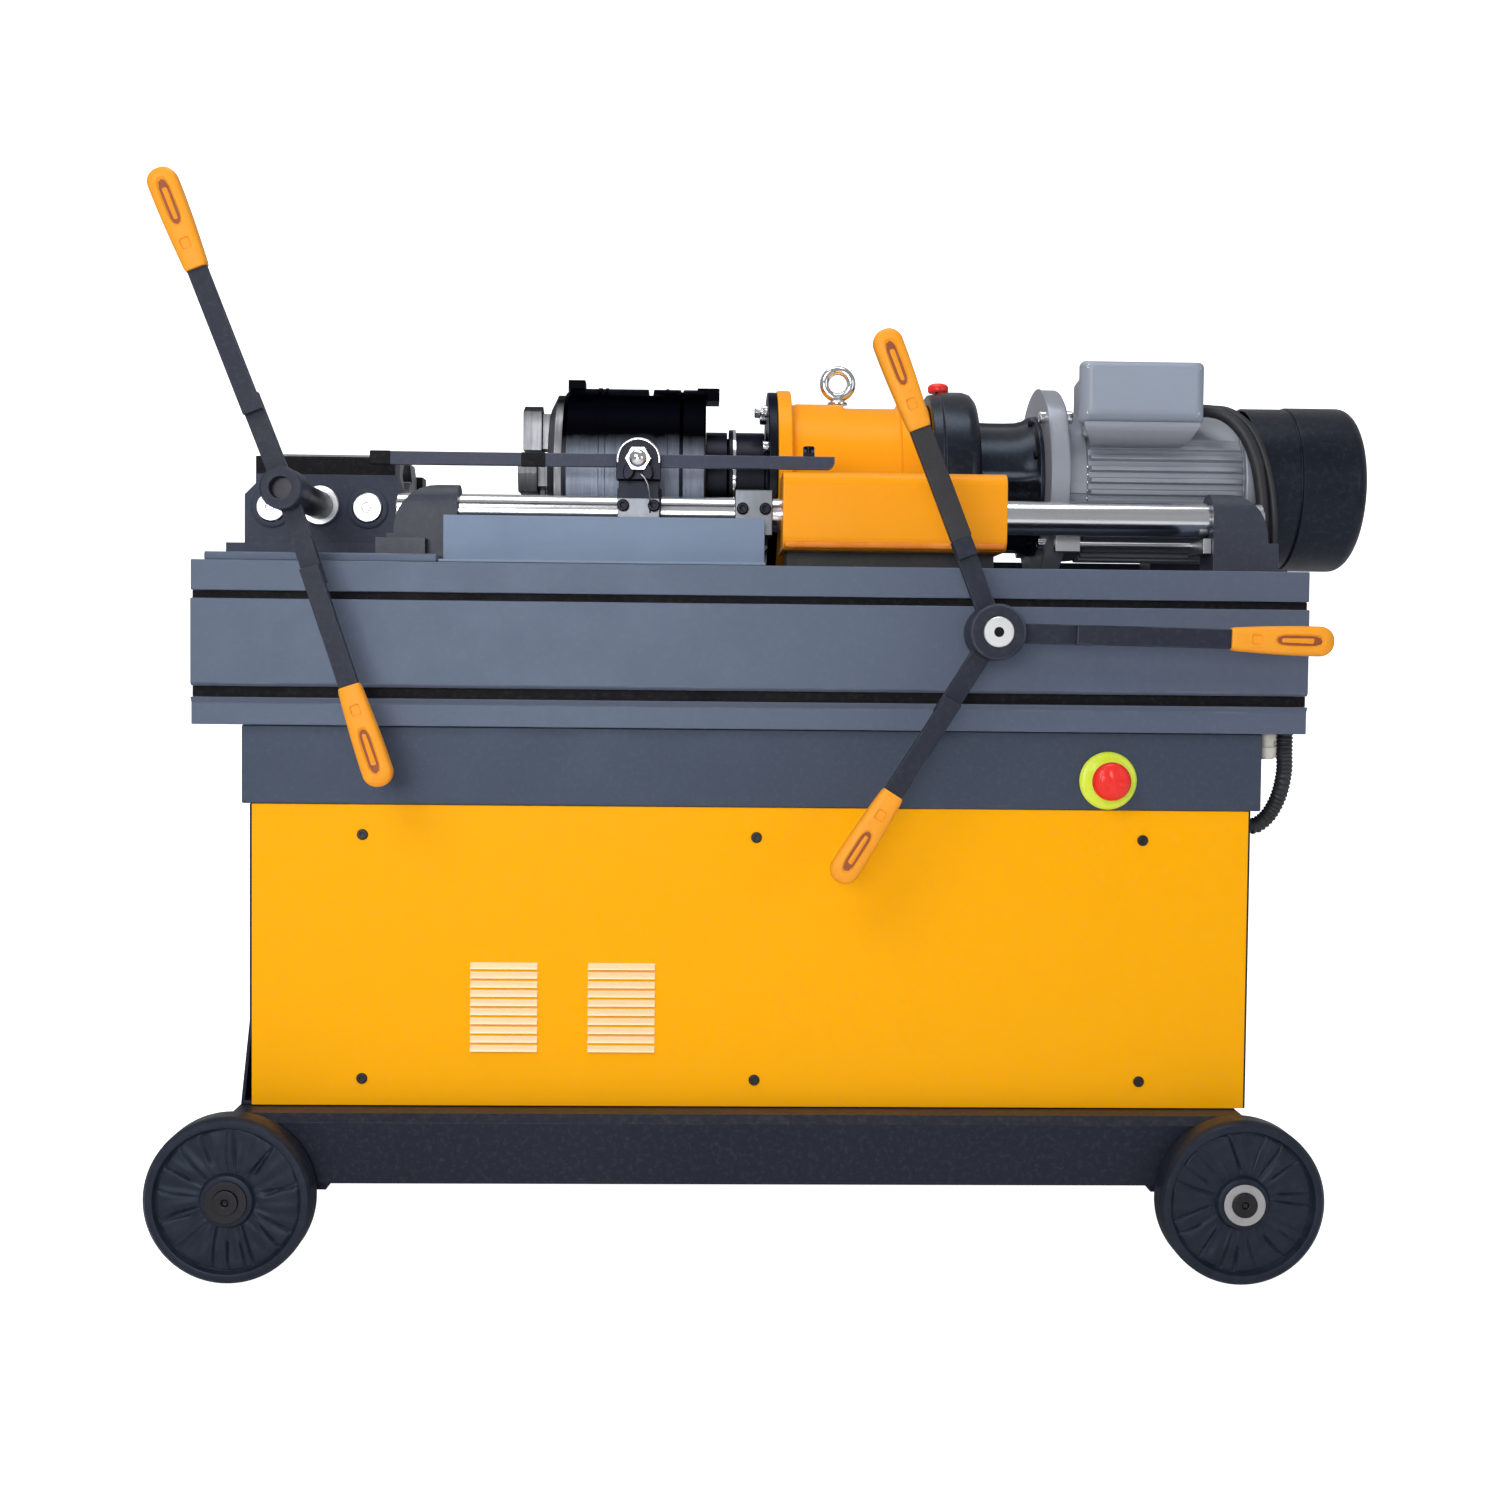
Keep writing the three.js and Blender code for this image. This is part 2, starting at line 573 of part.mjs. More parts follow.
function pinionOutline() {
  const toothStep = (2 * Math.PI) / PINION_TEETH;
  const flanks = [
    [PINION_R - 1.25 * GEAR_MODULE, 2.1], [PINION_R - 1.8, 2.1], [PINION_R, 1.7],
    [PINION_R + GEAR_MODULE, 0.6],
  ];
  return Array.from({ length: PINION_TEETH }, (_, tooth) => {
    const middle = Math.PI / 2 + tooth * toothStep;
    const rising = flanks.map(([radius, half]) => [radius, middle - half / radius]);
    const falling = [...flanks].reverse().map(([radius, half]) => [radius, middle + half / radius]);
    const around = [...rising, ...falling];
    return around.map(([radius, angle]) => [radius * Math.cos(angle), radius * Math.sin(angle)]);
  }).flat();
}

function feedShaft() {
  const shaft = turned('y', [
    [-313, 0], [-313, 15], [-310.3, 15], [-310.3, 13], [-116, 13], [-116, 0],
  ], 16);
  const pinion = prism('y', pinionOutline(), GEAR_Y);
  return piece('feed_shaft', join(shaft, pinion), FINISH.steel, [FEED_X, 0, FEED_Z]);
}

function feedRack() {
  const pitch = Math.PI * GEAR_MODULE;
  const pitchZ = FEED_Z + PINION_R;
  const root = pitchZ + 1.25 * GEAR_MODULE;
  const tip = pitchZ - GEAR_MODULE + 0.1;
  const top = 705.6;
  const atPitch = 1.8;
  const slope = Math.tan(THREE.MathUtils.degToRad(20));
  const wide = atPitch + slope * (root - pitchZ);
  const narrow = atPitch - slope * (pitchZ - tip);
  const teeth = [];
  for (let gap = -19; gap <= 1; gap += 1) {
    const middle = FEED_X + (gap + 0.5) * pitch;
    teeth.push([middle - wide, root], [middle - narrow, tip], [middle + narrow, tip], [middle + wide, root]);
  }
  const [x0, x1] = [teeth[0][0] - 2, teeth[teeth.length - 1][0] + 2];
  const outline = [[x0, top], [x0, root], ...teeth, [x1, root], [x1, top]];
  return piece('feed_rack', prism('y', outline, GEAR_Y), FINISH.steel);
}

// ---- carriage ----

function carriageSaddle() {
  const sleeveR = 30;
  const webY = [118, 160];
  const plateZ = [706, 722];
  const sleeves = [-1, 1].map((side) => rod('x', CARRIAGE_X, sleeveR, [side * ROD_Y, ROD_Z], 20));
  const plate = block(CARRIAGE_X, [-webY[1], webY[1]], plateZ);
  const webs = [-1, 1].map((side) =>
    block(CARRIAGE_X, [side * webY[0], side * webY[1]].sort((a, b) => a - b), [plateZ[0], ROD_Z]));
  const bores = [-1, 1].map((side) => rod('x', [-20, 240], ROD_R + 0.35, [side * ROD_Y, ROD_Z], 20));
  return piece('carriage_saddle', cut(join(plate, ...webs, ...sleeves), ...bores), FINISH.iron);
}

function coverOutline(inset, backY) {
  const radius = 14 - inset;
  const [y0, z0, z1] = [COVER.y[0] + inset, COVER.z[0] + inset, COVER.z[1] - inset];
  return [
    [backY, z0], [backY, z1],
    ...arc(y0 + radius, z1 - radius, radius, radius, 90, 180, 5),
    ...arc(y0 + radius, z0 + radius, radius, radius, 180, 270, 5),
  ].reverse();
}

function carriageCover() {
  const sheet = 4;
  const [x0, x1] = COVER.x;
  const outer = prism('x', coverOutline(0, COVER.y[1]), COVER.x);
  const inner = prism('x', coverOutline(sheet, COVER.y[1] + 1), [x0 + sheet, x1 - sheet]);
  const bottomSheet = [COVER.z[0] - 1, COVER.z[0] + sheet + 1];
  const webSlot = block([x0 + sheet, x1 - sheet], [-164, COVER.y[1] + 1], bottomSheet);
  const rodHole = rod('x', [x0 - 1, x1 + 1], ROD_R + 1.5, [-ROD_Y, ROD_Z], 20);
  return piece('carriage_cover', cut(outer, inner, webSlot, rodHole), FINISH.yellow);
}

const onSpindle = [0, SPINDLE_Z];

function gearboxHousing() {
  const bore = 60;
  const [x0, x1] = GEARBOX_X;
  const casing = turned('x', [
    [x0, bore], [x0, 103], [-12, 103], [-12, 105], [4, 105], [4, 90], [62, 90], [64, 86], [124, 86],
    [126, 92], [x1, 92], [x1, bore],
  ], 24, onSpindle);
  const foot = block([14, 120], [-70, 70], [722 + GAP, 762]);
  const clear = rod('x', [x0 - 1, x1 + 1], bore, onSpindle, 24);
  return piece('gearbox_housing', cut(join(casing, foot), clear), FINISH.yellow);
}

function reducerHousing() {
  const [x0, x1] = REDUCER_X;
  const profile = [
    [x0, 58], [x0, 106], [206, 106], [214, 98], [214, 67], [276, 67], [278, 80], [x1, 80], [x1, 30],
    [206, 30], [206, 58],
  ];
  return piece('reducer_housing', turned('x', profile, 24, onSpindle), FINISH.black);
}

function oilCap() {
  const seat = SPINDLE_Z + 106 + GAP;
  const profile = [[seat, 0], [seat, 12], [seat + 5, 12], [seat + 9, 9], [seat + 10, 0]];
  return piece('oil_cap', turned('z', profile, 16, [174, 0]), FINISH.red);
}

function eyebolt() {
  const seat = SPINDLE_Z + 90 + GAP;
  const ringZ = 944;
  const ring = solidOf(new THREE.TorusGeometry(15.5, 5.5, 6, 16).rotateX(Math.PI / 2));
  const x = 59;
  const collarProfile = [[seat, 0], [seat, 12], [seat + 3, 12], [926, 7], [931, 5], [931, 0]];
  const collar = turned('z', collarProfile, 16, [x, 0]);
  return piece('eyebolt', join(ring.translate([x, 0, ringZ]), collar), FINISH.steel);
}

function motorHousing() {
  const fins = 22;
  const root = 80;
  const step = 360 / fins;
  const finOutline = Array.from({ length: fins }, (_, i) => [
    ...arc(0, SPINDLE_Z, MOTOR_R, MOTOR_R, (i - 0.14) * step, (i + 0.14) * step, 1),
    ...arc(0, SPINDLE_Z, root, root, (i + 0.22) * step, (i + 0.78) * step, 1),
  ]).flat();
  const finned = prism('x', finOutline, [MOTOR_X[0] + 22, MOTOR_X[1] - 8]);
  const shell = turned('x', [
    [MOTOR_FLANGE_X[0], 20], [MOTOR_FLANGE_X[0], 112], [MOTOR_FLANGE_X[1], 112], [312, 84], [331, 84],
    [331, 79], [510, 79], [510, 85], [MOTOR_X[1], 85], [MOTOR_X[1], 62], [302, 62], [302, 20],
  ], 24, onSpindle);
  const hollow = rod('x', [302, MOTOR_X[1] + 1], 62, onSpindle, 24);
  const feet = [375, 440].map((x) => block([x, x + 26], [-78, -40], [764, 782]));
  return piece('motor_housing', cut(join(shell, finned, ...feet), hollow), FINISH.alloy);
}

function junctionBox() {
  const tub = prism('y', [[322, 872], [444, 872], [450, 950], [316, 950]], [-104, 6]);
  const lidRim = prism('y', [[317, 866], [449, 866], [451, 956], [315, 956]], [-118, -103]);
  const lidFace = prism('y', [[323, 874], [443, 874], [445, 950], [321, 950]], [-124, -117]);
  const motorSeat = rod('x', [300, 470], MOTOR_R + 1, onSpindle, 24);
  return piece('junction_box', cut(join(tub, lidRim, lidFace), motorSeat), FINISH.boxgrey);
}

function fanCowl() {
  const [x0, x1] = COWL_X;
  const wall = 3;
  const profile = [
    [x0, COWL_R - 1 - wall], [x0, COWL_R - 1], [566, COWL_R - 1], [568, COWL_R], [628, COWL_R], [638, 89],
    [643, 80], [x1, 55], [x1, 8], [x1 - wall, 8], [x1 - wall, 54], [640, 78], [635, 86],
    [627, COWL_R - wall], [570, COWL_R - wall],
  ];
  return piece('fan_cowl', turned('x', profile, 24, onSpindle), FINISH.black);
}

const MOTOR_CABLE_ROUTE = [
  [451.4, -70, 908], [466, -78, 908], [484, -88, 900], [500, -98, 880], [511, -104, 852], [517, -106, 820],
  [520, -106, 785], [520, -104, 752], [519, -102, 723],
];
const motorCable = () => piece('motor_cable', cable(MOTOR_CABLE_ROUTE, 7, 8, 14), FINISH.rubber);

const SIDE_CONDUIT_ROUTE = [
  [519, -200, 554.6], [519, -200, 536], [519, -200, 514], [514, -200, 490], [504, -200, 470],
  [491, -200, 458.5], [480.2, -200, 457.5],
];
const sideConduit = () => piece('side_conduit', cable(SIDE_CONDUIT_ROUTE, 9, 8, 12), FINISH.rubber);

function limitSwitch() {
  const switchBody = block([291, 318], [-111, -96], [749, 765]);
  const arm = rod('x', [317, 444], 3.5, [-105, 757], 10);
  const foot = block([440, RIGHT_LUG_X[0] - GAP], [-160, -97], [745, 761]);
  return piece('limit_switch', join(switchBody, arm, foot), FINISH.steel);
}

// ---- spindle, heads and motor rotor ----

function spindleShaft() {
  const profile = [
    [-90.7, BORE_R], [-90.7, 57], [-67, 57], [-67, 50], [-65, 50], [-65, 60], [-57, 60], [-57, 57], [-25, 57],
    [-25, 50], [150, 50], [150, BORE_R],
  ];
  return piece('spindle_shaft', turned('x', profile, 20, onSpindle), FINISH.black);
}

function rollingHead() {
  const [x0, x1] = HEAD_X;
  const drum = turned('x', [
    [x0, BORE_R], [x0, 99], [x0 + 5, HEAD_R], [-120, HEAD_R], [-118, 101], [-116, HEAD_R], [x1 - 2, HEAD_R],
    [x1, HEAD_R - 2], [x1, BORE_R],
  ], 28, onSpindle);
  const top = SPINDLE_Z + HEAD_R;
  const slit = block([-156, -150], [-60, 60], [top - 13, top + 5]);
  const stopLug = block([x1 - 10, -76], [-22, 22], [top - 14, top]);
  const latch = block([x0 + 1, x0 + 20], [-12, 12], [top - 4, top + 9]);
  return piece('rolling_head', join(cut(drum, slit), stopLug, latch), FINISH.iron);
}

function peelingHead() {
  const plateX = [-265, HEAD_X[0] - GAP];
  const knives = 4;
  let head = turned('x', [
    [plateX[0], BORE_R], [plateX[0], 80], [plateX[0] + 8, 96], [plateX[1], 96], [plateX[1], BORE_R],
  ], 16, onSpindle);
  for (let i = 0; i < knives; i += 1) {
    const arm = block([-277, plateX[0] + 1], [-14, 14], [34, 74]);
    const holder = prism('x', [[-20, 32], [20, 32], [20, 76], [0, 84], [-20, 76]], [-297, -276]);
    const mounted = join(arm, holder).rotate([(i * 360) / knives, 0, 0]);
    head = join(head, mounted.translate([0, 0, SPINDLE_Z]));
  }
  return piece('peeling_head', head, FINISH.steel);
}

function motorRotor() {
  const profile = [
    [166, 0], [166, 20], [196, 20], [196, 14], [326, 14], [326, 55], [492, 55], [492, 14], [541, 14],
    [541, 24], [572, 24], [572, 0],
  ];
  const shaft = turned('x', profile, 20, onSpindle);
  const blades = Array.from({ length: 8 }, (_, i) =>
    block([544, 568], [-2, 2], [20, 82]).rotate([i * 45, 0, 0]).translate([0, 0, SPINDLE_Z]));
  return piece('motor_rotor', join(shaft, ...blades), FINISH.iron);
}

// ---- assembly ----

body('frame',
  baseFrame(), axle('left'), axle('right'), cabinetShell(), frontPanel(), controlBeam(), coolantTank(),
  coolantPump(), electricalPanel(), estopPlate(), bed(), rearSplashRail(), guardPlate(), guideRod('front'),
  guideRod('rear'), rodBracket('left', 'front'), rodBracket('left', 'rear'), rodBracket('right', 'front'),
  rodBracket('right', 'rear'), stopBlock(), barPost(), viseBase(), viseHousing(),
  viseGuideBar('left', VISE_BARS_X[0]), viseGuideBar('right', VISE_BARS_X[1]), sideConduit(), limitSwitch());
for (const end of ['front', 'rear']) {
  for (const side of ['left', 'right']) body(`wheel_${end}_${side}`, wheel(end, side));
}
body('vise_lever', viseScrew(), handle('vise_lever', LEVER_ARMS, LEVER_HUB, 11.1, [VISE_X, VISE_Z]),
  ...LEVER_ARMS.map((arm) => grip(`lever_grip_${arm.name}`, arm, [VISE_X, VISE_Z])));
body('jaw_front', viseJaw('front'));
body('jaw_rear', viseJaw('rear'));
body('feed_handle', feedShaft(), handle('feed_spokes', FEED_SPOKES, FEED_HUB, 13.3, [FEED_X, FEED_Z]),
  ...FEED_SPOKES.map((arm) => grip(`feed_grip_${arm.name}`, arm, [FEED_X, FEED_Z])));
body('carriage', carriageSaddle(), carriageCover(), feedRack(), gearboxHousing(), reducerHousing(), oilCap(),
  eyebolt(), motorHousing(), junctionBox(), fanCowl(), motorCable());
body('spindle', spindleShaft(), rollingHead(), peelingHead());
body('rotor', motorRotor());
body('stroke_bar', strokeBar());
body('lock_knob', lockKnob());
body('estop_button', estopButton());

export default machine;
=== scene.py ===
from math import cos, pi, radians, sin

import bmesh
import bpy
import numpy as np
from mathutils import Matrix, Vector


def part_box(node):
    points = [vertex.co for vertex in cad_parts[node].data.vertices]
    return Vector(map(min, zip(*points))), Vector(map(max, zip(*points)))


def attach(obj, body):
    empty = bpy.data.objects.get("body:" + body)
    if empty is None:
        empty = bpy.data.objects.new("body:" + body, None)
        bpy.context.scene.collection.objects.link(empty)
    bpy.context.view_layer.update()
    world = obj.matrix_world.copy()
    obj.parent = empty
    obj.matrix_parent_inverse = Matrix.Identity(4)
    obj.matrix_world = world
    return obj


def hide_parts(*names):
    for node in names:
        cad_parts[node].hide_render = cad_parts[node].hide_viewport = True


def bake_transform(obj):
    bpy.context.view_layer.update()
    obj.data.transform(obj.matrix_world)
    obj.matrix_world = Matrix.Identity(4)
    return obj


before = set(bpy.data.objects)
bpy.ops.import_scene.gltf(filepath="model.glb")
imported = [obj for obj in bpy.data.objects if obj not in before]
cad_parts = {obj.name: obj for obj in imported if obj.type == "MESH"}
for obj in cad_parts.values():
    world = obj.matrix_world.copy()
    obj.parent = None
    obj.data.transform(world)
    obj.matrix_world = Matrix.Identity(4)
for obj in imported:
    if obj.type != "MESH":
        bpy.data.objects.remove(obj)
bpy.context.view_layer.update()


# ---- Studio ----
# A pale seamless sweep under and behind the machine, lit by large soft lights, and a camera standing in
# front of the operator's side at chest height, a little left of the middle.

def grid_faces(rows, columns, wrap_rows=False, wrap_columns=False):
    """Quads that join each point of a grid to its next row and column, round the ends where it wraps."""
    row, column = np.meshgrid(np.arange(rows if wrap_rows else rows - 1),
                              np.arange(columns if wrap_columns else columns - 1), indexing="ij")
    row_next, column_next = (row + 1) % rows, (column + 1) % columns
    corners = [row * columns + column, row_next * columns + column,
               row_next * columns + column_next, row * columns + column_next]
    return np.stack(corners, axis=-1).reshape(-1, 4)


def sweep_mesh(half_width, front, back, bend, height):
    """A floor from front to back that turns up through a quarter circle of radius bend to a wall."""
    turn = np.linspace(0, pi / 2, 24)
    depth = np.concatenate([[front], back - bend + bend * np.sin(turn), [back]])
    rise = np.concatenate([[0], bend - bend * np.cos(turn), [height]])
    across = np.array([-half_width, half_width])
    points = np.stack([np.broadcast_to(across, (len(depth), 2)),
                       np.broadcast_to(depth[:, None], (len(depth), 2)),
                       np.broadcast_to(rise[:, None], (len(depth), 2))], axis=-1).reshape(-1, 3)
    mesh = bpy.data.meshes.new("studio_sweep")
    mesh.from_pydata(points.tolist(), [], grid_faces(len(depth), 2)[:, ::-1].tolist())
    mesh.shade_smooth()
    return mesh


sweep = bpy.data.objects.new("studio_sweep", sweep_mesh(9.0, -7.0, 4.5, 1.5, 6.0))
bpy.context.scene.collection.objects.link(sweep)
sweep_paint = bpy.data.materials.new("studio_paper")
sweep_paint.use_nodes = True
sweep_shader = sweep_paint.node_tree.nodes["Principled BSDF"]
sweep_shader.inputs["Base Color"].default_value = (0.90, 0.90, 0.91, 1)
sweep_shader.inputs["Roughness"].default_value = 0.9
sweep_shader.inputs["Emission Color"].default_value = (1.0, 1.0, 1.0, 1)
seen = sweep_paint.node_tree.nodes.new("ShaderNodeLightPath")
sweep_paint.node_tree.links.new(seen.outputs["Is Camera Ray"], sweep_shader.inputs["Emission Strength"])
sweep.data.materials.append(sweep_paint)

sky = bpy.data.worlds.new("studio_light")
sky.use_nodes = True
sky.node_tree.nodes["Background"].inputs["Color"].default_value = (0.95, 0.97, 1.0, 1)
sky.node_tree.nodes["Background"].inputs["Strength"].default_value = 0.36
bpy.context.scene.world = sky
bpy.context.scene.view_settings.view_transform = "Standard"


def soft_light(name, place, size, power, aim=(0, 0, 0.6)):
    """A rectangular light at a place, turned so that it shines at the aim."""
    data = bpy.data.lights.new(name, "AREA")
    data.shape = "RECTANGLE"
    data.size, data.size_y = size
    data.energy = power
    light = bpy.data.objects.new(name, data)
    light.location = place
    direction = np.array(aim) - np.array(place)
    light.rotation_euler = (np.arctan2(np.hypot(direction[0], direction[1]), -direction[2]), 0,
                            np.arctan2(direction[1], direction[0]) - pi / 2)
    bpy.context.scene.collection.objects.link(light)


soft_light("front_light", (-0.65, -3.1, 0.95), (1.3, 0.8), 27)
soft_light("key_light", (-1.4, -2.6, 2.5), (1.6, 1.2), 30)
soft_light("fill_light", (2.6, -2.6, 1.4), (1.4, 1.4), 9)
soft_light("top_light", (-0.1, -0.2, 3.0), (2.2, 0.9), 22)


def camera_frame(yaw, pitch, roll):
    """Right, up and back axes of a camera that looks along +Y, turned by yaw, tipped by pitch and rolled."""
    forward = np.array([sin(yaw) * cos(pitch), cos(yaw) * cos(pitch), sin(pitch)])
    level_right = np.array([cos(yaw), -sin(yaw), 0])
    level_up = np.cross(level_right, forward)
    right = cos(roll) * level_right + sin(roll) * level_up
    up = -sin(roll) * level_right + cos(roll) * level_up
    return np.stack([right, up, -forward], axis=1)


camera_data = bpy.data.cameras.new("operator_view")
camera_data.lens = 44.94
camera = bpy.data.objects.new("operator_view", camera_data)
turn = np.eye(4)
turn[:3, :3] = camera_frame(yaw=0.02719, pitch=-0.03680, roll=0.01005)
turn[:3, 3] = (-0.0955, -2.150, 0.6043)
camera.matrix_world = Matrix(turn.tolist())
bpy.context.scene.collection.objects.link(camera)
bpy.context.scene.camera = camera


# ---- Base frame ----
# A skirt of folded 6 mm steel plate with a ledge along its top, and carriers for the axles welded below its
# ends. It is painted near-black, with a fine orange peel and a little dust on the ledge.

def softened(node, width, steps=2, sharp=25.0):
    """The CAD solid with its triangles merged into whole faces and each sharp edge rounded by a bevel."""
    shape = bmesh.new()
    shape.from_mesh(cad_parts[node].data)
    bmesh.ops.remove_doubles(shape, verts=shape.verts, dist=2e-5)
    bmesh.ops.dissolve_limit(shape, angle_limit=radians(0.6), verts=shape.verts, edges=shape.edges)
    return round_edges(shape, width, steps, sharp)


def round_edges(shape, width, steps, sharp):
    """Bevels the edges that turn by more than the sharp angle and marks the new strips with rim = 1."""
    rim = shape.faces.layers.float.new("rim")
    edges = [edge for edge in shape.edges if edge.is_manifold and edge.calc_face_angle() > radians(sharp)]
    if width:
        strips = bmesh.ops.bevel(shape, geom=edges, offset=width * 0.001, segments=steps, profile=0.5,
                                 affect="EDGES", clamp_overlap=True)["faces"]
        for strip in strips:
            strip[rim] = 1.0
    return shape


def made(name, shape, material, body, slot, *stands_for):
    """Makes a finished shape a piece with its material and body, and hides the CAD nodes it stands for; the
    slot is not used.
    """
    mesh = bpy.data.meshes.new(name)
    shape.to_mesh(mesh)
    shape.free()
    mesh.shade_smooth()
    mesh.set_sharp_from_angle(angle=radians(38))
    piece = bpy.data.objects.new(name, mesh)
    bpy.context.scene.collection.objects.link(piece)
    mesh.materials.append(material)
    even = piece.modifiers.new("even_shading", "WEIGHTED_NORMAL")
    even.keep_sharp = True
    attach(piece, body)
    if stands_for:
        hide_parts(*stands_for)
    return piece


def node_group(name, inputs, outputs):
    """An empty shader node group with named inputs and outputs, and its input and output nodes."""
    group = bpy.data.node_groups.new(name, "ShaderNodeTree")
    kinds = {"color": "NodeSocketColor", "float": "NodeSocketFloat", "vector": "NodeSocketVector"}
    for label, kind, value in inputs:
        socket = group.interface.new_socket(label, in_out="INPUT", socket_type=kinds[kind])
        socket.default_value = value
    for label, kind in outputs:
        group.interface.new_socket(label, in_out="OUTPUT", socket_type=kinds[kind])
    return group, group.nodes.new("NodeGroupInput"), group.nodes.new("NodeGroupOutput")


def noise(tree, scale, detail, vector, roughness=0.55):
    """A noise texture on the given coordinates."""
    texture = tree.nodes.new("ShaderNodeTexNoise")
    texture.inputs["Detail"].default_value = detail
    texture.inputs["Roughness"].default_value = roughness
    if isinstance(scale, (int, float)):
        texture.inputs["Scale"].default_value = scale
    else:
        tree.links.new(scale, texture.inputs["Scale"])
    tree.links.new(vector, texture.inputs["Vector"])
    return texture.outputs["Fac"]


def remap(tree, value, low, high, to_low=0.0, to_high=1.0):
    """Stretches a value from one range to another and clamps it there."""
    node = tree.nodes.new("ShaderNodeMapRange")
    for socket, number in zip(("From Min", "From Max", "To Min", "To Max"), (low, high, to_low, to_high)):
        node.inputs[socket].default_value = number
    tree.links.new(value, node.inputs["Value"])
    return node.outputs["Result"]


def math_node(tree, operation, first, second):
    """One arithmetic step on two values, each a socket or a number."""
    node = tree.nodes.new("ShaderNodeMath")
    node.operation = operation
    for socket, value in zip(node.inputs, (first, second)):
        if isinstance(value, (int, float)):
            socket.default_value = value
        else:
            tree.links.new(value, socket)
    return node.outputs["Value"]


def mixed(tree, factor, first, second, blend="MIX"):
    """Two colours mixed by a factor; each is a socket or an RGBA value."""
    node = tree.nodes.new("ShaderNodeMix")
    node.data_type = "RGBA"
    node.blend_type = blend
    for socket, value in ((node.inputs[0], factor), (node.inputs[6], first), (node.inputs[7], second)):
        if isinstance(value, (int, float, tuple)):
            socket.default_value = value
        else:
            tree.links.new(value, socket)
    return node.outputs[2]


def bumped(tree, height, strength, distance):
    """A normal that follows a height; the strength is a socket or a number."""
    bump = tree.nodes.new("ShaderNodeBump")
    bump.inputs["Distance"].default_value = distance
    if isinstance(strength, (int, float)):
        bump.inputs["Strength"].default_value = strength
    else:
        tree.links.new(strength, bump.inputs["Strength"])
    tree.links.new(height, bump.inputs["Height"])
    return bump.outputs["Normal"]


def enamel_surface():
    """Sprayed enamel: slow drifts of tone, an orange peel, scuffed rims, and dust where it faces up."""
    group, given, out = node_group("enamel_surface", [
        ("Paint", "color", (0.5, 0.5, 0.5, 1)), ("Scuff", "color", (0.6, 0.6, 0.6, 1)),
        ("Dust", "color", (0.5, 0.48, 0.44, 1)), ("Dust Amount", "float", 0.3),
        ("Scuff Amount", "float", 0.5), ("Gloss Low", "float", 0.3), ("Gloss High", "float", 0.45),
        ("Peel Strength", "float", 0.12),
    ], [("Color", "color"), ("Roughness", "float"), ("Normal", "vector")])
    where = group.nodes.new("ShaderNodeTexCoord").outputs["Object"]
    drift = noise(group, 3.1, 3, where)
    patches = noise(group, 17.0, 6, where, 0.65)
    grit = noise(group, 160.0, 5, where, 0.7)
    peel = noise(group, 520.0, 2, where, 0.4)
    rim = group.nodes.new("ShaderNodeAttribute")
    rim.attribute_name = "rim"
    worn = math_node(group, "MULTIPLY", rim.outputs["Fac"], remap(group, patches, 0.46, 0.62))
    worn = math_node(group, "MULTIPLY", worn, given.outputs["Scuff Amount"])
    facing = group.nodes.new("ShaderNodeNewGeometry")
    split = group.nodes.new("ShaderNodeSeparateXYZ")
    group.links.new(facing.outputs["Normal"], split.inputs["Vector"])
    settled = math_node(group, "MULTIPLY", remap(group, split.outputs["Z"], 0.55, 0.98),
                        remap(group, grit, 0.3, 0.75))
    settled = math_node(group, "MULTIPLY", settled, given.outputs["Dust Amount"])
    light = mixed(group, remap(group, drift, 0.3, 0.7, 0.0, 0.10), given.outputs["Paint"],
                  given.outputs["Scuff"])
    tone = mixed(group, remap(group, grit, 0.5, 0.75, 0.0, 0.035), light, given.outputs["Dust"])
    tone = mixed(group, worn, tone, given.outputs["Scuff"])
    tone = mixed(group, settled, tone, given.outputs["Dust"])
    gloss = group.nodes.new("ShaderNodeMix")
    group.links.new(remap(group, patches, 0.3, 0.7), gloss.inputs[0])
    group.links.new(given.outputs["Gloss Low"], gloss.inputs[2])
    group.links.new(given.outputs["Gloss High"], gloss.inputs[3])
    rough = math_node(group, "ADD", gloss.outputs[0], math_node(group, "MULTIPLY", settled, 0.5))
    height = math_node(group, "ADD", peel, math_node(group, "MULTIPLY", patches, 0.5))
    group.links.new(tone, out.inputs["Color"])
    group.links.new(rough, out.inputs["Roughness"])
    group.links.new(bumped(group, height, given.outputs["Peel Strength"], 0.0006), out.inputs["Normal"])
    return group


ENAMEL_SURFACE = enamel_surface()


def finish_from(name, group, values, **shader_values):
    """A material whose colour, roughness and normal come from a group; the rest is set on the shader."""
    material = bpy.data.materials.new(name)
    material.use_nodes = True
    tree = material.node_tree
    shader = tree.nodes["Principled BSDF"]
    surface = tree.nodes.new("ShaderNodeGroup")
    surface.node_tree = group
    for label, value in values.items():
        surface.inputs[label].default_value = value
    tree.links.new(surface.outputs["Color"], shader.inputs["Base Color"])
    tree.links.new(surface.outputs["Roughness"], shader.inputs["Roughness"])
    tree.links.new(surface.outputs["Normal"], shader.inputs["Normal"])
    for label, value in shader_values.items():
        shader.inputs[label.replace("_", " ")].default_value = value
    return material


def enamel(name, paint, scuff, gloss=(0.3, 0.45), dust=0.25, scuffs=0.5, peel=0.12, **shader_values):
    """An enamel finish with its own paint, scuffed colour, gloss range and amounts of dust and scuffs."""
    return finish_from(name, ENAMEL_SURFACE, {
        "Paint": (*paint, 1), "Scuff": (*scuff, 1), "Gloss Low": gloss[0], "Gloss High": gloss[1],
        "Dust Amount": dust, "Scuff Amount": scuffs, "Peel Strength": peel,
    }, **shader_values)


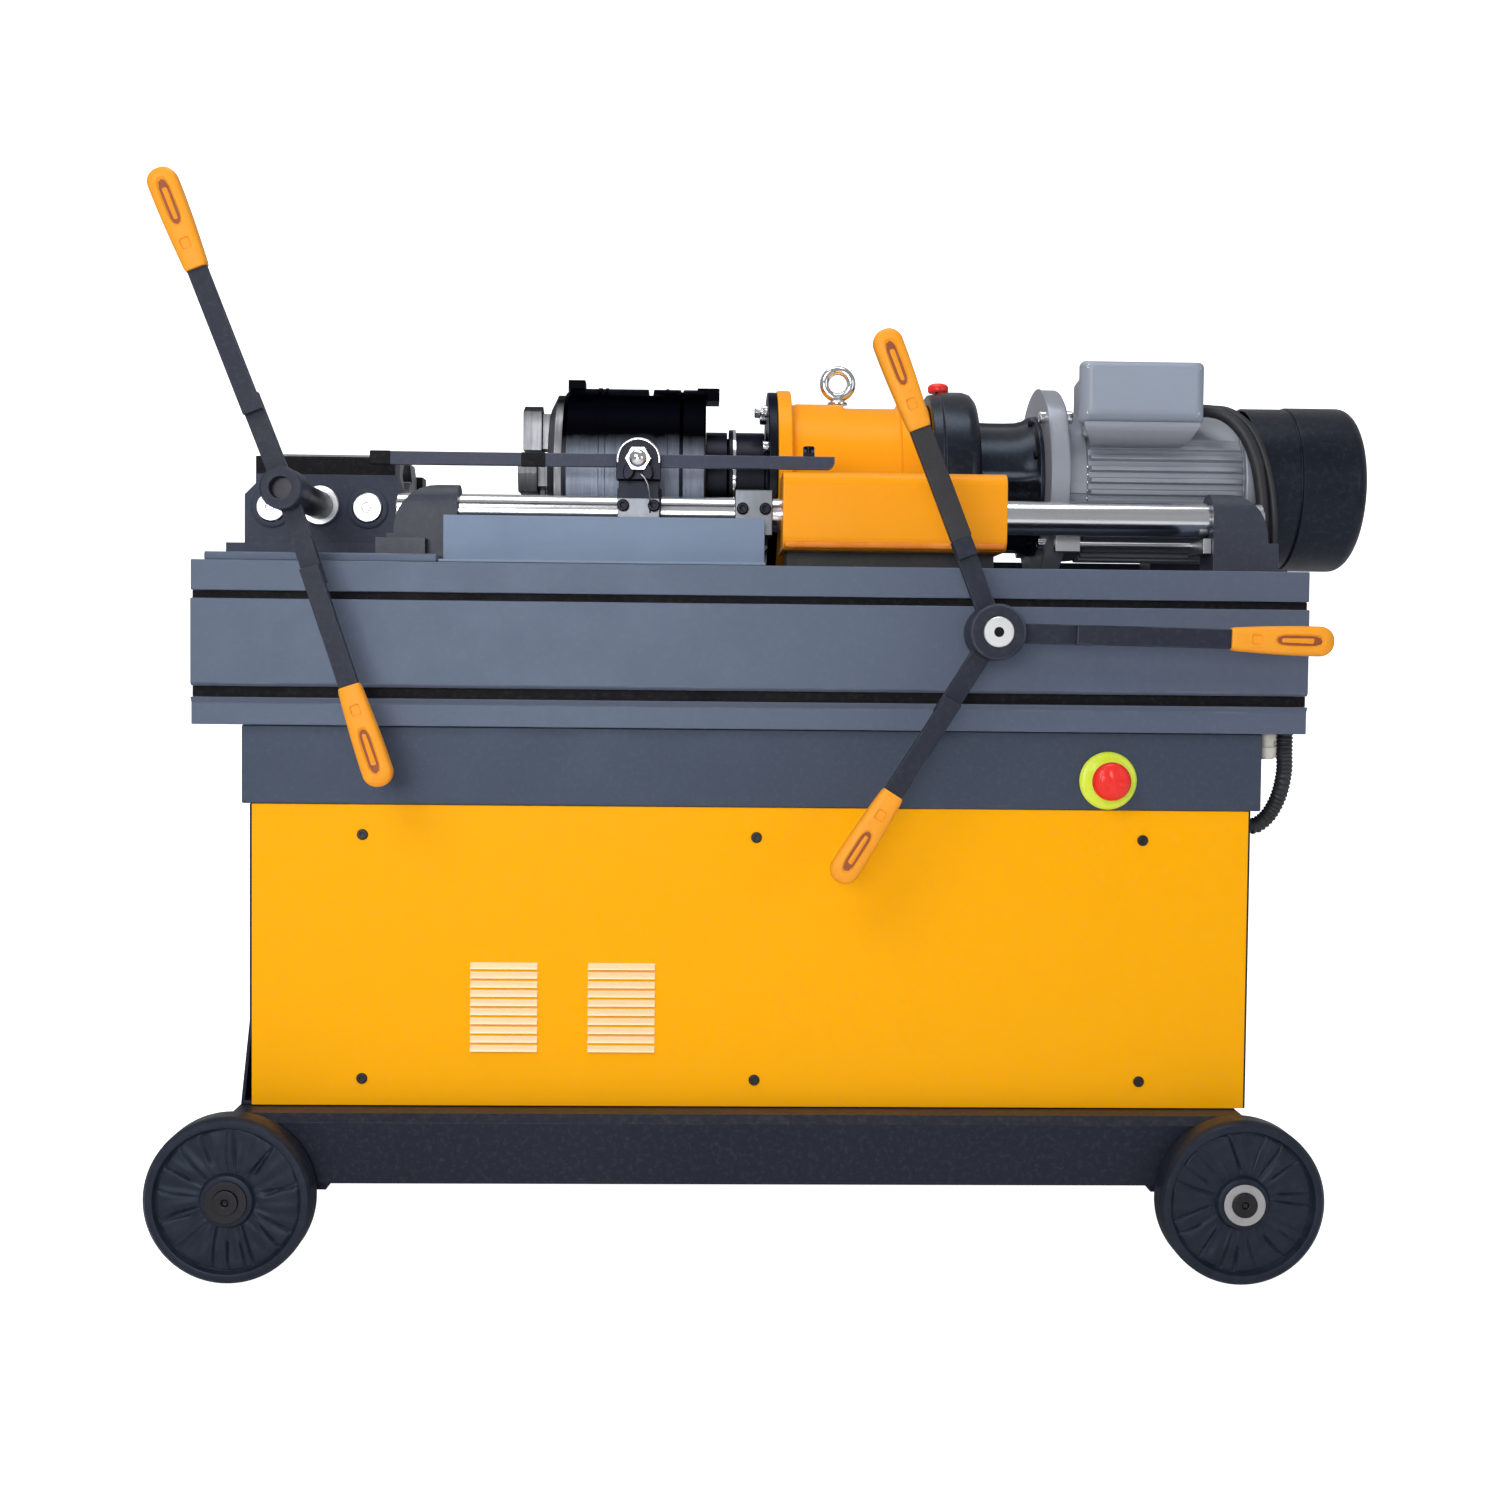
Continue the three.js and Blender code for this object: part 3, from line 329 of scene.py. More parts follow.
dark_enamel = enamel("dark_enamel", (0.011, 0.012, 0.021), (0.05, 0.055, 0.08), gloss=(0.40, 0.50), dust=0.05,
                     Specular_IOR_Level=0.25, Specular_Tint=(0.6, 0.75, 1.0, 1))
made("base_skirt", softened("base_frame", 1.6), dark_enamel, "frame", "dark_paint", "base_frame")


# ---- Axles and wheels ----
# Turned steel axles run across under the base, with a washer outside each wheel. The wheels are discs
# moulded in dark plastic, with uneven radial ribs between a hub and a rim, and a plain tread.

def box_mm(node):
    """Lowest and highest corners of a CAD node in millimetres."""
    low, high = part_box(node)
    return np.array(low) * 1000, np.array(high) * 1000


def revolved(profile, axis, place, sides=96, relief=None):
    """Carries a profile of (along, radius) once round an axis through a place; a relief may move its points,
    worked out from (along, radius, angle). A profile that starts and ends off the axis closes on itself."""
    profile = np.array(profile, float)
    angle = np.arange(sides) * 2 * pi / sides
    along = np.broadcast_to(profile[:, :1], (len(profile), sides))
    radius = np.broadcast_to(profile[:, 1:], (len(profile), sides))
    if relief:
        along, radius = relief(along, radius, np.broadcast_to(angle, along.shape))
    wide, high = radius * np.cos(angle), radius * np.sin(angle)
    order = {"x": (along, wide, high), "y": (wide, along, high), "z": (wide, high, along)}[axis]
    points = np.stack(order, axis=-1).reshape(-1, 3) + np.array(place, float)
    return points, grid_faces(len(profile), sides, wrap_rows=profile[0, 1] > 0, wrap_columns=True).tolist()


def built(parts, width=0.6, steps=2, sharp=30.0):
    """Joins parts, each points in millimetres with faces, into one shape in metres with rounded edges."""
    shape = bmesh.new()
    for points, faces in parts:
        corners = [shape.verts.new(point) for point in (np.asarray(points) * 0.001).tolist()]
        part_faces = [shape.faces.new([corners[i] for i in face]) for face in faces]
        bmesh.ops.remove_doubles(shape, verts=corners, dist=1e-7)
        bmesh.ops.recalc_face_normals(shape, faces=[face for face in part_faces if face.is_valid])
    bmesh.ops.dissolve_degenerate(shape, dist=1e-8, edges=shape.edges)
    return round_edges(shape, width, steps, sharp)


def wheel_relief(face_side, seed):
    """Cuts uneven radial grooves into a softly swelling web; both fade at the hub and at the rim."""
    draw = np.random.default_rng(seed)
    ribs = 19
    middles = (np.arange(ribs) + draw.uniform(-0.3, 0.3, ribs)) * 2 * pi / ribs
    leans = draw.uniform(-0.10, 0.10, ribs)
    heights = draw.uniform(0.35, 1.0, ribs)
    widths = draw.uniform(0.014, 0.026, ribs)
    starts = draw.uniform(-0.1, 0.4, ribs)

    def relief(along, radius, angle):
        span = np.clip((radius - 27) / (71 - 27), 0, 1)
        lift = np.zeros_like(along)
        for middle, lean, height, width, start in zip(middles, leans, heights, widths, starts):
            bend = middle + 2 * lean * span + 0.014 * np.sin(5 * span + 60 * lean)
            off = (angle - bend + pi) % (2 * pi) - pi
            crease = height * np.exp(-np.abs(off / (width * (1.5 - 0.8 * span))) ** 1.4)
            lift = np.maximum(lift, crease * np.clip((span - start) / 0.15, 0, 1))
        fade = np.sin(np.clip(span, 0, 1) * pi) ** 0.3
        swell = 0.8 * np.sin(angle * 9 + 2.2 * np.sin(span * 3 + angle)) + 0.4 * np.sin(angle * 26 - 2 * span)
        on_web = (radius > 27) & (radius < 71.5) & (along * face_side > 0)
        return along + np.where(on_web, face_side * (1.6 - 3.4 * lift + swell) * fade, 0.0), radius

    return relief


def wheel_parts(place, side, seed):
    """A wheel round Y: hub, ribbed web, rim and tread; the outer face is on the given side."""
    web = [(side * 11, r) for r in np.linspace(28, 71, 40)]
    inner = [(-side * 11, 70), (-side * 11, 28)]
    profile = [(side * 18.5, 13.4), (side * 18.8, 22), (side * 17.5, 25.5), *web, (side * 17.4, 73.5),
               (side * 18, 76), (side * 17.5, 80), (side * 13.5, 83.2), (side * 8, 83.6),
               (-side * 12.5, 83.6), (-side * 17, 81), (-side * 18, 74), *inner, (-side * 18, 24),
               (-side * 18.5, 13.4)]
    return revolved(profile, "y", place, 432, wheel_relief(side, seed))


def moulded_surface():
    """Moulded plastic: a fine grain, cloudy tone, and paler scuffs on the rims."""
    group, given, out = node_group("moulded_surface", [
        ("Plastic", "color", (0.5, 0.5, 0.5, 1)), ("Worn", "color", (0.6, 0.6, 0.6, 1)),
        ("Gloss Low", "float", 0.4), ("Gloss High", "float", 0.6), ("Grain Strength", "float", 0.2),
    ], [("Color", "color"), ("Roughness", "float"), ("Normal", "vector")])
    where = group.nodes.new("ShaderNodeTexCoord").outputs["Object"]
    cloud = noise(group, 24.0, 4, where, 0.6)
    smear = noise(group, 75.0, 6, where, 0.7)
    grain = noise(group, 900.0, 2, where, 0.5)
    rim = group.nodes.new("ShaderNodeAttribute")
    rim.attribute_name = "rim"
    worn = math_node(group, "MAXIMUM", math_node(group, "MULTIPLY", rim.outputs["Fac"], 0.35),
                     remap(group, smear, 0.5, 0.78, 0.0, 0.45))
    tone = mixed(group, remap(group, cloud, 0.3, 0.7, 0.0, 0.25), given.outputs["Plastic"],
                 given.outputs["Worn"])
    tone = mixed(group, worn, tone, given.outputs["Worn"])
    gloss = group.nodes.new("ShaderNodeMix")
    group.links.new(remap(group, smear, 0.3, 0.7), gloss.inputs[0])
    group.links.new(given.outputs["Gloss Low"], gloss.inputs[2])
    group.links.new(given.outputs["Gloss High"], gloss.inputs[3])
    group.links.new(tone, out.inputs["Color"])
    group.links.new(gloss.outputs[0], out.inputs["Roughness"])
    group.links.new(bumped(group, math_node(group, "ADD", grain, math_node(group, "MULTIPLY", smear, 0.8)),
                           given.outputs["Grain Strength"], 0.0005), out.inputs["Normal"])
    return group


MOULDED_SURFACE = moulded_surface()


def moulded(name, plastic, worn, gloss=(0.4, 0.6), grain=0.2, **shader_values):
    """A moulded plastic or rubber finish."""
    return finish_from(name, MOULDED_SURFACE, {
        "Plastic": (*plastic, 1), "Worn": (*worn, 1), "Gloss Low": gloss[0], "Gloss High": gloss[1],
        "Grain Strength": grain,
    }, **shader_values)


def machined_surface():
    """Machined metal: streaks round or along the piece, faint stains and smudges in the shine."""
    group, given, out = node_group("machined_surface", [
        ("Metal", "color", (0.6, 0.6, 0.6, 1)), ("Stain", "color", (0.3, 0.3, 0.3, 1)),
        ("Streaks", "vector", (1.0, 1.0, 1.0)), ("Stain Amount", "float", 0.2),
        ("Gloss Low", "float", 0.2), ("Gloss High", "float", 0.35), ("Streak Strength", "float", 0.1),
    ], [("Color", "color"), ("Roughness", "float"), ("Normal", "vector")])
    where = group.nodes.new("ShaderNodeTexCoord").outputs["Object"]
    stretch = group.nodes.new("ShaderNodeVectorMath")
    stretch.operation = "MULTIPLY"
    group.links.new(where, stretch.inputs[0])
    group.links.new(given.outputs["Streaks"], stretch.inputs[1])
    streak = noise(group, 30.0, 4, stretch.outputs["Vector"], 0.6)
    stain = noise(group, 22.0, 6, where, 0.7)
    blot = remap(group, stain, 0.45, 0.72)
    tone = mixed(group, math_node(group, "MULTIPLY", blot, given.outputs["Stain Amount"]),
                 given.outputs["Metal"], given.outputs["Stain"])
    tone = mixed(group, remap(group, streak, 0.35, 0.65, 0.0, 0.18), tone, given.outputs["Stain"])
    gloss = group.nodes.new("ShaderNodeMix")
    group.links.new(math_node(group, "MULTIPLY", math_node(group, "ADD", streak, blot), 0.5), gloss.inputs[0])
    group.links.new(given.outputs["Gloss Low"], gloss.inputs[2])
    group.links.new(given.outputs["Gloss High"], gloss.inputs[3])
    group.links.new(tone, out.inputs["Color"])
    group.links.new(gloss.outputs[0], out.inputs["Roughness"])
    group.links.new(bumped(group, streak, given.outputs["Streak Strength"], 0.0003), out.inputs["Normal"])
    return group


MACHINED_SURFACE = machined_surface()


def machined(name, metal, stain, streaks=(1, 1, 1), gloss=(0.2, 0.35), stains=0.2, strength=0.1,
             **shader_values):
    """A machined metal finish; streaks gives how fast the marks change along each axis."""
    return finish_from(name, MACHINED_SURFACE, {
        "Metal": (*metal, 1), "Stain": (*stain, 1), "Streaks": streaks, "Gloss Low": gloss[0],
        "Gloss High": gloss[1], "Stain Amount": stains, "Streak Strength": strength,
    }, Metallic=1.0, **shader_values)


wheel_plastic = moulded("wheel_plastic", (0.009, 0.012, 0.021), (0.034, 0.042, 0.066), gloss=(0.34, 0.52),
                        grain=0.3, Specular_IOR_Level=0.3, Specular_Tint=(0.7, 0.82, 1.0, 1))
axle_steel = machined("axle_steel", (0.50, 0.50, 0.51), (0.22, 0.21, 0.20), streaks=(4, 4, 4),
                      gloss=(0.3, 0.5))
worn_black = machined("worn_black", (0.045, 0.045, 0.05), (0.02, 0.02, 0.022), gloss=(0.35, 0.55), stains=0.5)

for side_index, side in enumerate(("left", "right")):
    low, high = box_mm(f"axle_{side}")
    axle_x, axle_z = (low + high)[[0, 2]] / 2
    made(f"axle_bar_{side}", built([revolved(
        [(-298, 0), (-298, 12.5), (298, 12.5), (298, 0)], "y", (axle_x, 0, axle_z), 48)]),
        axle_steel, "frame", "bright_steel", f"axle_{side}")
    for end, outward in (("front", -1), ("rear", 1)):
        wheel_middle = sum(box_mm(f"wheel_{end}_{side}")) / 2
        seed = 11 + side_index * 7 + outward
        made(f"wheel_disc_{end}_{side}", built([wheel_parts(wheel_middle, outward, seed)], 0.4, 1, 50),
             wheel_plastic, f"wheel_{end}_{side}", "wheel_plastic", f"wheel_{end}_{side}")
        tip = outward * 306.5
        washer = [(outward * 301.4, 12.6), (outward * 301.4, 21), (outward * 303.9, 21),
                  (outward * 303.9, 12.6)]
        nose = [(outward * 297, 0), (outward * 297, 12.5), (tip, 12.5), (tip, 4), (outward * 303.5, 2.5),
                (outward * 303.5, 0)]
        is_bright = side == "right"
        made(f"axle_washer_{end}_{side}", built([revolved(washer, "y", (axle_x, 0, axle_z), 64)], 0.5),
             axle_steel if is_bright else worn_black, "frame", "bright_steel")
        made(f"axle_nose_{end}_{side}", built([revolved(nose, "y", (axle_x, 0, axle_z), 48)], 0.7),
             worn_black, "frame", "blackened_steel")


# ---- Cabinet ----
# Folded sheet-steel shell in near-black enamel, open at the front, with a yellow enamelled panel screwed
# over it. Pressed louvre slots in the panel let the pump's warmth out.

yellow_enamel = enamel("yellow_enamel", (1.0, 0.435, 0.002), (1.0, 0.47, 0.02), gloss=(0.26, 0.36), dust=0.0,
                       scuffs=0.15, peel=0.08, Specular_IOR_Level=0.05)
# The slats are pressed from the yellow panel; their paler cream colour is a painted highlight where light
# catches the hoods.
slat_highlight_paint = enamel("slats_painted_highlight", (0.98, 0.72, 0.40), (1.0, 0.86, 0.6), gloss=(0.22, 0.3), dust=0.05)
made("cabinet_sheet", softened("cabinet_shell", 1.2), dark_enamel, "frame", "dark_paint", "cabinet_shell")


def slab(low, high):
    """A block between two corners."""
    corner = np.array(np.meshgrid([0, 1], [0, 1], [0, 1], indexing="ij")).reshape(3, -1).T
    points = np.array(low, float) + corner * (np.array(high, float) - np.array(low, float))
    return points, [[0, 1, 3, 2], [4, 6, 7, 5], [0, 4, 5, 1], [2, 3, 7, 6], [0, 2, 6, 4], [1, 5, 7, 3]]


made("yellow_panel", softened("front_panel", 0.7), yellow_enamel, "frame", "yellow_paint", "front_panel")

panel_low = box_mm("front_panel")[0]
slats = []
for slot_x in (-328, -207):
    for slat in range(10):
        slat_z = 219 + slat * 9.5
        fall = np.linspace(0, 1, 9)
        hood = np.column_stack([panel_low[1] - 3.1 * np.sin(fall * pi / 2) ** 1.3, slat_z + 7.3 - 6.7 * fall])
        inside = [(hood[-1, 0] + 1.0, hood[-1, 1] - 0.2), (panel_low[1] + 0.8, hood[-1, 1] + 3.0),
                  (panel_low[1] + 0.8, slat_z + 7.3)]
        section = np.concatenate([hood, inside])
        rows = np.stack([np.column_stack([np.full(len(section), x), section])
                         for x in (slot_x - 1.0, slot_x + 68.0)])
        caps = [list(range(len(section)))[::-1], list(range(len(section), 2 * len(section)))]
        slats.append((rows.reshape(-1, 3), grid_faces(2, len(section), wrap_columns=True).tolist() + caps))
made("louvre_slats", built(slats, 0.0), slat_highlight_paint, "frame", "yellow_paint")


def round_head(place, axis, radius, height, outward, socket=0.0, sides=32):
    """A screw head: a low dome, or a cylinder with a hexagon socket where a socket size is given."""
    along = {"x": 0, "y": 1, "z": 2}[axis]
    start = place[along]
    steps = np.linspace(0, pi / 2, 6)
    centre = [0.0 if i == along else value for i, value in enumerate(place)]
    if not socket:
        dome = [(start + outward * height * sin(t), radius * cos(t)) for t in steps]
        return revolved([(start, 0), *dome[:-1], (start + outward * height, 0)], axis, centre, sides)
    top = start + outward * height
    floor = top - outward * height * 0.6
    profile = [(start, 0), (start, radius), (top - outward * radius * 0.15, radius), (top, radius * 0.86),
               (top, socket), (floor, socket), (floor, 0)]

    def hexagon(a, r, angle):
        flat = socket * cos(pi / 6) / np.cos(angle % (pi / 3) - pi / 6)
        return a, np.where(np.abs(r - socket) < 1e-6, flat, r)

    return revolved(profile, axis, centre, max(sides, 36), hexagon)


panel_screws = [round_head((x, panel_low[1] + 0.8, z), "y", 5.6, 3.0, -1, socket=2.8)
                for x in (-440, -35.5, 365.5) for z in (191, 443)]
made("panel_screws", built(panel_screws, 0.3), worn_black, "frame", "blackened_steel")


# ---- Cabinet contents ----
# A galvanised coolant tank with a pump beside it, and a zinc-coated mounting plate with contactors on the
# back wall.

zinc_sheet = machined("zinc_sheet", (0.42, 0.44, 0.46), (0.30, 0.31, 0.33), gloss=(0.35, 0.55), stains=0.6)
pump_iron = enamel("pump_iron", (0.03, 0.05, 0.07), (0.12, 0.13, 0.14), gloss=(0.4, 0.6))
made("tank_sheet", softened("coolant_tank", 0.8), zinc_sheet, "frame", "galvanised_sheet", "coolant_tank")
made("pump_casting", softened("coolant_pump", 0.8, sharp=35), pump_iron, "frame", "cast_iron", "coolant_pump")
made("contactor_plate", softened("electrical_panel", 0.8), zinc_sheet, "frame", "galvanised_sheet",
     "electrical_panel")


# ---- Control beam and emergency stop ----
# A welded channel of near-black plate closes the top of the cabinet. The emergency stop is a red mushroom
# button moulded in gloss plastic, in a lime-yellow collar screwed to the beam.

beam_enamel = enamel("beam_enamel", (0.040, 0.050, 0.076), (0.07, 0.08, 0.11), gloss=(0.42, 0.52), dust=0.06,
                     Specular_Tint=(0.6, 0.75, 1.0, 1))
made("beam_channel", softened("control_beam", 1.6), beam_enamel, "frame", "dark_paint", "control_beam")

lime_gloss = moulded("lime_gloss", (0.72, 0.90, 0.03), (0.80, 0.92, 0.20), gloss=(0.2, 0.34), grain=0.05,
                     Specular_IOR_Level=0.3)
red_gloss = moulded("red_gloss", (0.88, 0.022, 0.016), (0.92, 0.08, 0.06), gloss=(0.16, 0.3), grain=0.05,
                    Specular_IOR_Level=0.3)
stop_low, stop_high = box_mm("estop_plate")
stop_x, stop_z = (stop_low + stop_high)[[0, 2]] / 2
collar = [(stop_high[1], 11), (stop_high[1], 29.5), (stop_high[1] - 1.8, 30), (stop_high[1] - 4.2, 27.5),
          (stop_high[1] - 5.2, 23), (stop_low[1], 18), (stop_low[1], 11)]
made("estop_collar", built([revolved(collar, "y", (stop_x, 0, stop_z), 96)], 0.5), lime_gloss, "frame",
     "lime_plastic", "estop_plate")

cap_low = box_mm("estop_button")[0][1]
dome = [(cap_low + 1.6 * (1 - cos(t)) * 1.2, 13.5 * sin(t)) for t in np.linspace(0, pi / 2, 8)]
mushroom = [(-206, 0), (-206, 9.5), (-240, 9.5), (-240.4, 18.6), (-243, 19.9), (-246.5, 19.6), (-249.6, 17.2),
            (-251.0, 14.2), *dome[::-1]]


def three_dimples(along, radius, angle):
    """Three shallow finger hollows in the button's face."""
    hollow = np.exp(-((radius - 9) / 3.2) ** 2) * np.clip(np.cos(3 * angle), 0, 1) ** 2
    return along + np.where(along < -248, 0.9 * hollow, 0.0), radius


made("estop_mushroom", built([revolved(mushroom, "y", (stop_x, 0, stop_z), 96, three_dimples)], 0.0),
     red_gloss, "estop_button", "red_plastic", "estop_button")


# ---- Bed ----
# A deep trough welded from thick plate in slate-blue enamel. Two grooves run along its walls, and short
# decks close its ends. A splash rail stands along the back and a guard plate along the front.

slate_enamel = enamel("slate_enamel", (0.084, 0.102, 0.150), (0.15, 0.17, 0.225), gloss=(0.40, 0.50),
                      dust=0.06, Specular_IOR_Level=0.6, Specular_Tint=(0.62, 0.78, 1.0, 1))
# Near-black for black parts, and also painted shade in the bed's grooves and the feed hub's bore.
black_and_painted_shade = enamel("black_and_painted_shade", (0.004, 0.004, 0.006), (0.02, 0.02, 0.025), gloss=(0.5, 0.7), dust=0.02,
                      Specular_IOR_Level=0.15)
made("bed_trough", softened("bed", 2.2, steps=3), slate_enamel, "frame", "slate_paint", "bed")
made("splash_rail", softened("rear_splash_rail", 0.7), dark_enamel, "frame", "dark_paint", "rear_splash_rail")
guard_enamel = enamel("guard_enamel", (0.172, 0.222, 0.312), (0.22, 0.25, 0.32), gloss=(0.38, 0.48),
                      dust=0.06, Specular_Tint=(0.62, 0.78, 1.0, 1))
made("guard_sheet", softened("guard_plate", 0.7), guard_enamel, "frame", "slate_paint", "guard_plate")

bed_low, bed_high = box_mm("bed")
# Near-black strips in the two grooves of each wall are painted shade where the grooves fall dark.
groove_shade_strips = []
for wall in (-1, 1):
    for bottom, top in ((583.4, 593.6), (683.4, 690.6)):
        inner, outer = sorted((wall * 227.6, wall * 230.5))
        groove_shade_strips.append(slab((bed_low[0], inner, bottom), (bed_high[0], outer, top)))
made("groove_painted_shade", built(groove_shade_strips, 0.0), black_and_painted_shade, "frame", "slate_paint")


# ---- Guide rods and brackets ----
# Ground and polished steel rods held at both ends in cast brackets, each bolted down by two socket screws.

rod_steel = machined("rod_steel", (0.86, 0.87, 0.89), (0.42, 0.43, 0.46), streaks=(0.3, 6, 6),
                     gloss=(0.13, 0.24), stains=0.15, strength=0.05)
bracket_enamel = enamel("bracket_enamel", (0.032, 0.038, 0.058), (0.12, 0.13, 0.16), gloss=(0.36, 0.5),
                        dust=0.08, peel=0.3, Specular_IOR_Level=0.35)
for end in ("front", "rear"):
    low, high = box_mm(f"guide_rod_{end}")
    middle = (low + high) / 2
    rod = [(low[0], 0), (low[0], 17), (low[0] + 1.5, 18.4), (high[0] - 1.5, 18.4), (high[0], 17),
           (high[0], 0)]
    made(f"ground_rod_{end}", built([revolved(rod, "x", (0, middle[1], middle[2]), 96)], 0.0), rod_steel,
         "frame", "bright_steel", f"guide_rod_{end}")
    for side in ("left", "right"):
        made(f"bracket_casting_{side}_{end}", softened(f"rod_bracket_{side}_{end}", 2.0, steps=3, sharp=35),
             bracket_enamel, "frame", "slate_paint", f"rod_bracket_{side}_{end}")


# ---- Clamps, post and stroke bar ----
# Split clamps in blackened steel grip the front rod. One stops the carriage, and the other carries a post
# whose eye holds the flat stroke bar, locked by a plated wing screw on a short wire.

black_oxide = machined("black_oxide", (0.012, 0.013, 0.018), (0.035, 0.036, 0.042), gloss=(0.28, 0.45),
                       stains=0.4, Specular_Tint=(0.5, 0.52, 0.6, 1))
clamp_face = machined("clamp_face", (0.15, 0.16, 0.18), (0.09, 0.09, 0.10), streaks=(8, 1, 1),
                      gloss=(0.3, 0.45))
plated = machined("plated", (0.78, 0.79, 0.80), (0.5, 0.5, 0.52), gloss=(0.08, 0.18), stains=0.1,
                  strength=0.02)
made("stop_clamp", softened("stop_block", 1.2, sharp=35), clamp_face, "frame", "blackened_steel",
     "stop_block")
made("post_clamp", softened("bar_post", 1.2, sharp=35), black_oxide, "frame", "blackened_steel", "bar_post")
clamp_screws = [round_head((x, y, 786), "y", 6.2, 7.0, -1, socket=3.2)
                for x, y in ((-177, -185.6), (-145, -185.6), (-52, -165.6), (-28, -165.6))]
made("clamp_screws", built(clamp_screws, 0.4), black_oxide, "frame", "blackened_steel")
made("post_clamp_face", built([slab((-183, -186.0, 772), (-139, -183.6, 794))], 0.8), clamp_face, "frame",
     "blackened_steel")

bar_enamel = enamel("bar_enamel", (0.046, 0.052, 0.082), (0.15, 0.17, 0.22), gloss=(0.38, 0.48), dust=0.0,
                    Specular_IOR_Level=0.15)
made("flat_bar", softened("stroke_bar", 1.0, sharp=35), bar_enamel, "stroke_bar", "slate_paint", "stroke_bar")
bar_low, bar_high = box_mm("stroke_bar")
sleeves = [slab((x0, bar_low[1] - 0.5, bar_low[2] - 0.5), (x1, bar_high[1] + 0.5, bar_low[2] + 14.1))
           for x0, x1 in ((bar_low[0], bar_low[0] + 22), (-283, -257))]
made("bar_sleeves", built(sleeves, 1.5, 3), black_and_painted_shade, "stroke_bar", "slate_paint")
adjuster_screw = revolved([(838.4, 0), (838.4, 3), (846, 3), (846, 5.5), (849, 5.5), (849, 0)], "z",
                          (16, -190, 0), 24)
adjuster = [adjuster_screw, slab((10.5, -193.5, 838.7), (21.5, -186.5, 842.5))]
made("bar_adjuster", built(adjuster, 0.4), black_oxide, "stroke_bar", "blackened_steel")

knob_x, knob_z = -161.0, 831.8


def ball_profile(centre, radius, start, end, steps=14):
    """Points of a circle about a centre on the axis, as (along, radius)."""
    return [(centre - radius * cos(t), radius * sin(t)) for t in np.linspace(start, end, steps)]


def wing(side):
    """One wing of the screw: a leaf whose outline swells from the hub and rounds off below."""
    t = np.linspace(0, 2 * pi, 36, endpoint=False)
    reach = 9.5 + 6.0 * np.cos(t)
    drop = -12 + 9.0 * np.sin(t) - 2.5 * np.cos(t)
    section = np.column_stack([knob_x + side * reach, knob_z + drop])
    rows = np.stack([np.column_stack([section[:, 0], np.full(36, y), section[:, 1]]) for y in (-211, -206.5)])
    caps = [list(range(36))[::-1], list(range(36, 72))]
    return rows.reshape(-1, 3), grid_faces(2, 36, wrap_columns=True).tolist() + caps


knob_ball = revolved([(-221.8, 0), *ball_profile(-211.5, 10.3, 0.15, 2.5), (-200.6, 6), (-195.4, 4.8),
                      (-195.4, 0)], "y", (knob_x, 0, knob_z), 64)
knob_hexagon = revolved([(-215.5, 0), (-215.5, 13.2), (-214, 14), (-204, 14), (-202, 12), (-202, 0)], "y",
                        (knob_x, 0, knob_z), 6)
made("knob_ball", built([knob_ball, knob_hexagon], 0.5), plated, "lock_knob", "bright_steel", "lock_knob")
made("knob_wings", built([wing(-1), wing(1)], 1.2, 3), black_oxide, "lock_knob", "blackened_steel")


rim_angle = np.linspace(-0.12, pi + 0.12, 40)
rim_route = np.column_stack([knob_x + 21.6 * np.cos(rim_angle), np.full(40, -200.6),
                             knob_z + 21.6 * np.sin(rim_angle)])
wire_route = np.array([(-158, -214, 816), (-154, -213, 812), (-151, -209, 806), (-149.5, -203, 798),
                       (-149, -196, 790), (-149, -189, 784), (-149, -186.4, 779)], float)


def tube_along(route, radius, sides=10):
    """A thin round wire through the points of a route, its ends closed."""
    step = np.gradient(np.asarray(route, float), axis=0)
    tangent = step / np.linalg.norm(step, axis=1)[:, None]
    side = np.cross(tangent, (0.13, 0.9, 0.41))
    side /= np.linalg.norm(side, axis=1)[:, None]
    up = np.cross(side, tangent)
    angle = np.linspace(0, 2 * pi, sides, endpoint=False)
    ring = np.cos(angle)[None, :, None] * side[:, None] + np.sin(angle)[None, :, None] * up[:, None]
    faces = grid_faces(len(route), sides, wrap_columns=True).tolist()
    faces += [list(range(sides))[::-1], list(range((len(route) - 1) * sides, len(route) * sides))]
    return (np.asarray(route)[:, None] + radius * ring).reshape(-1, 3), faces


made("eye_rim_and_wire", built([tube_along(rim_route, 1.5), tube_along(wire_route, 0.9)], 0.0), plated,
     "frame", "bright_steel")


# ---- Vise ----
# A cast housing on a thick base plate, in slate enamel with a black top strip. Two polished guide bars and
# the screw pass through both cheeks and both vee jaws, which close on the bar together.

made("vise_base_plate", softened("vise_base", 1.6, steps=3), slate_enamel, "frame", "slate_paint",
     "vise_base")
vise_enamel = enamel("vise_enamel", (0.034, 0.042, 0.070), (0.12, 0.135, 0.18), gloss=(0.40, 0.54), dust=0.04,
                     peel=0.35, Specular_IOR_Level=0.2)
made("vise_casting", softened("vise_housing", 2.0, steps=3), vise_enamel, "frame", "slate_paint",
     "vise_housing")
strips = [slab((-574.4, y0, 822), (-425.6, y1, 841.4)) for y0, y1 in ((-112.6, -84.4), (84.4, 112.6))]
made("vise_top_strip", built(strips, 1.4, 3), black_and_painted_shade, "frame", "slate_paint")
jaw_steel = machined("jaw_steel", (0.16, 0.165, 0.17), (0.07, 0.07, 0.075), streaks=(6, 1, 1),
                     gloss=(0.35, 0.5))
for end in ("front", "rear"):
    made(f"vee_jaw_{end}", softened(f"vise_jaw_{end}", 1.2), jaw_steel, f"jaw_{end}", "cast_iron",
         f"vise_jaw_{end}")
bar_end_steel = machined("bar_end_steel", (0.62, 0.63, 0.66), (0.5, 0.5, 0.5), streaks=(5, 1, 5),
                         gloss=(0.25, 0.4))
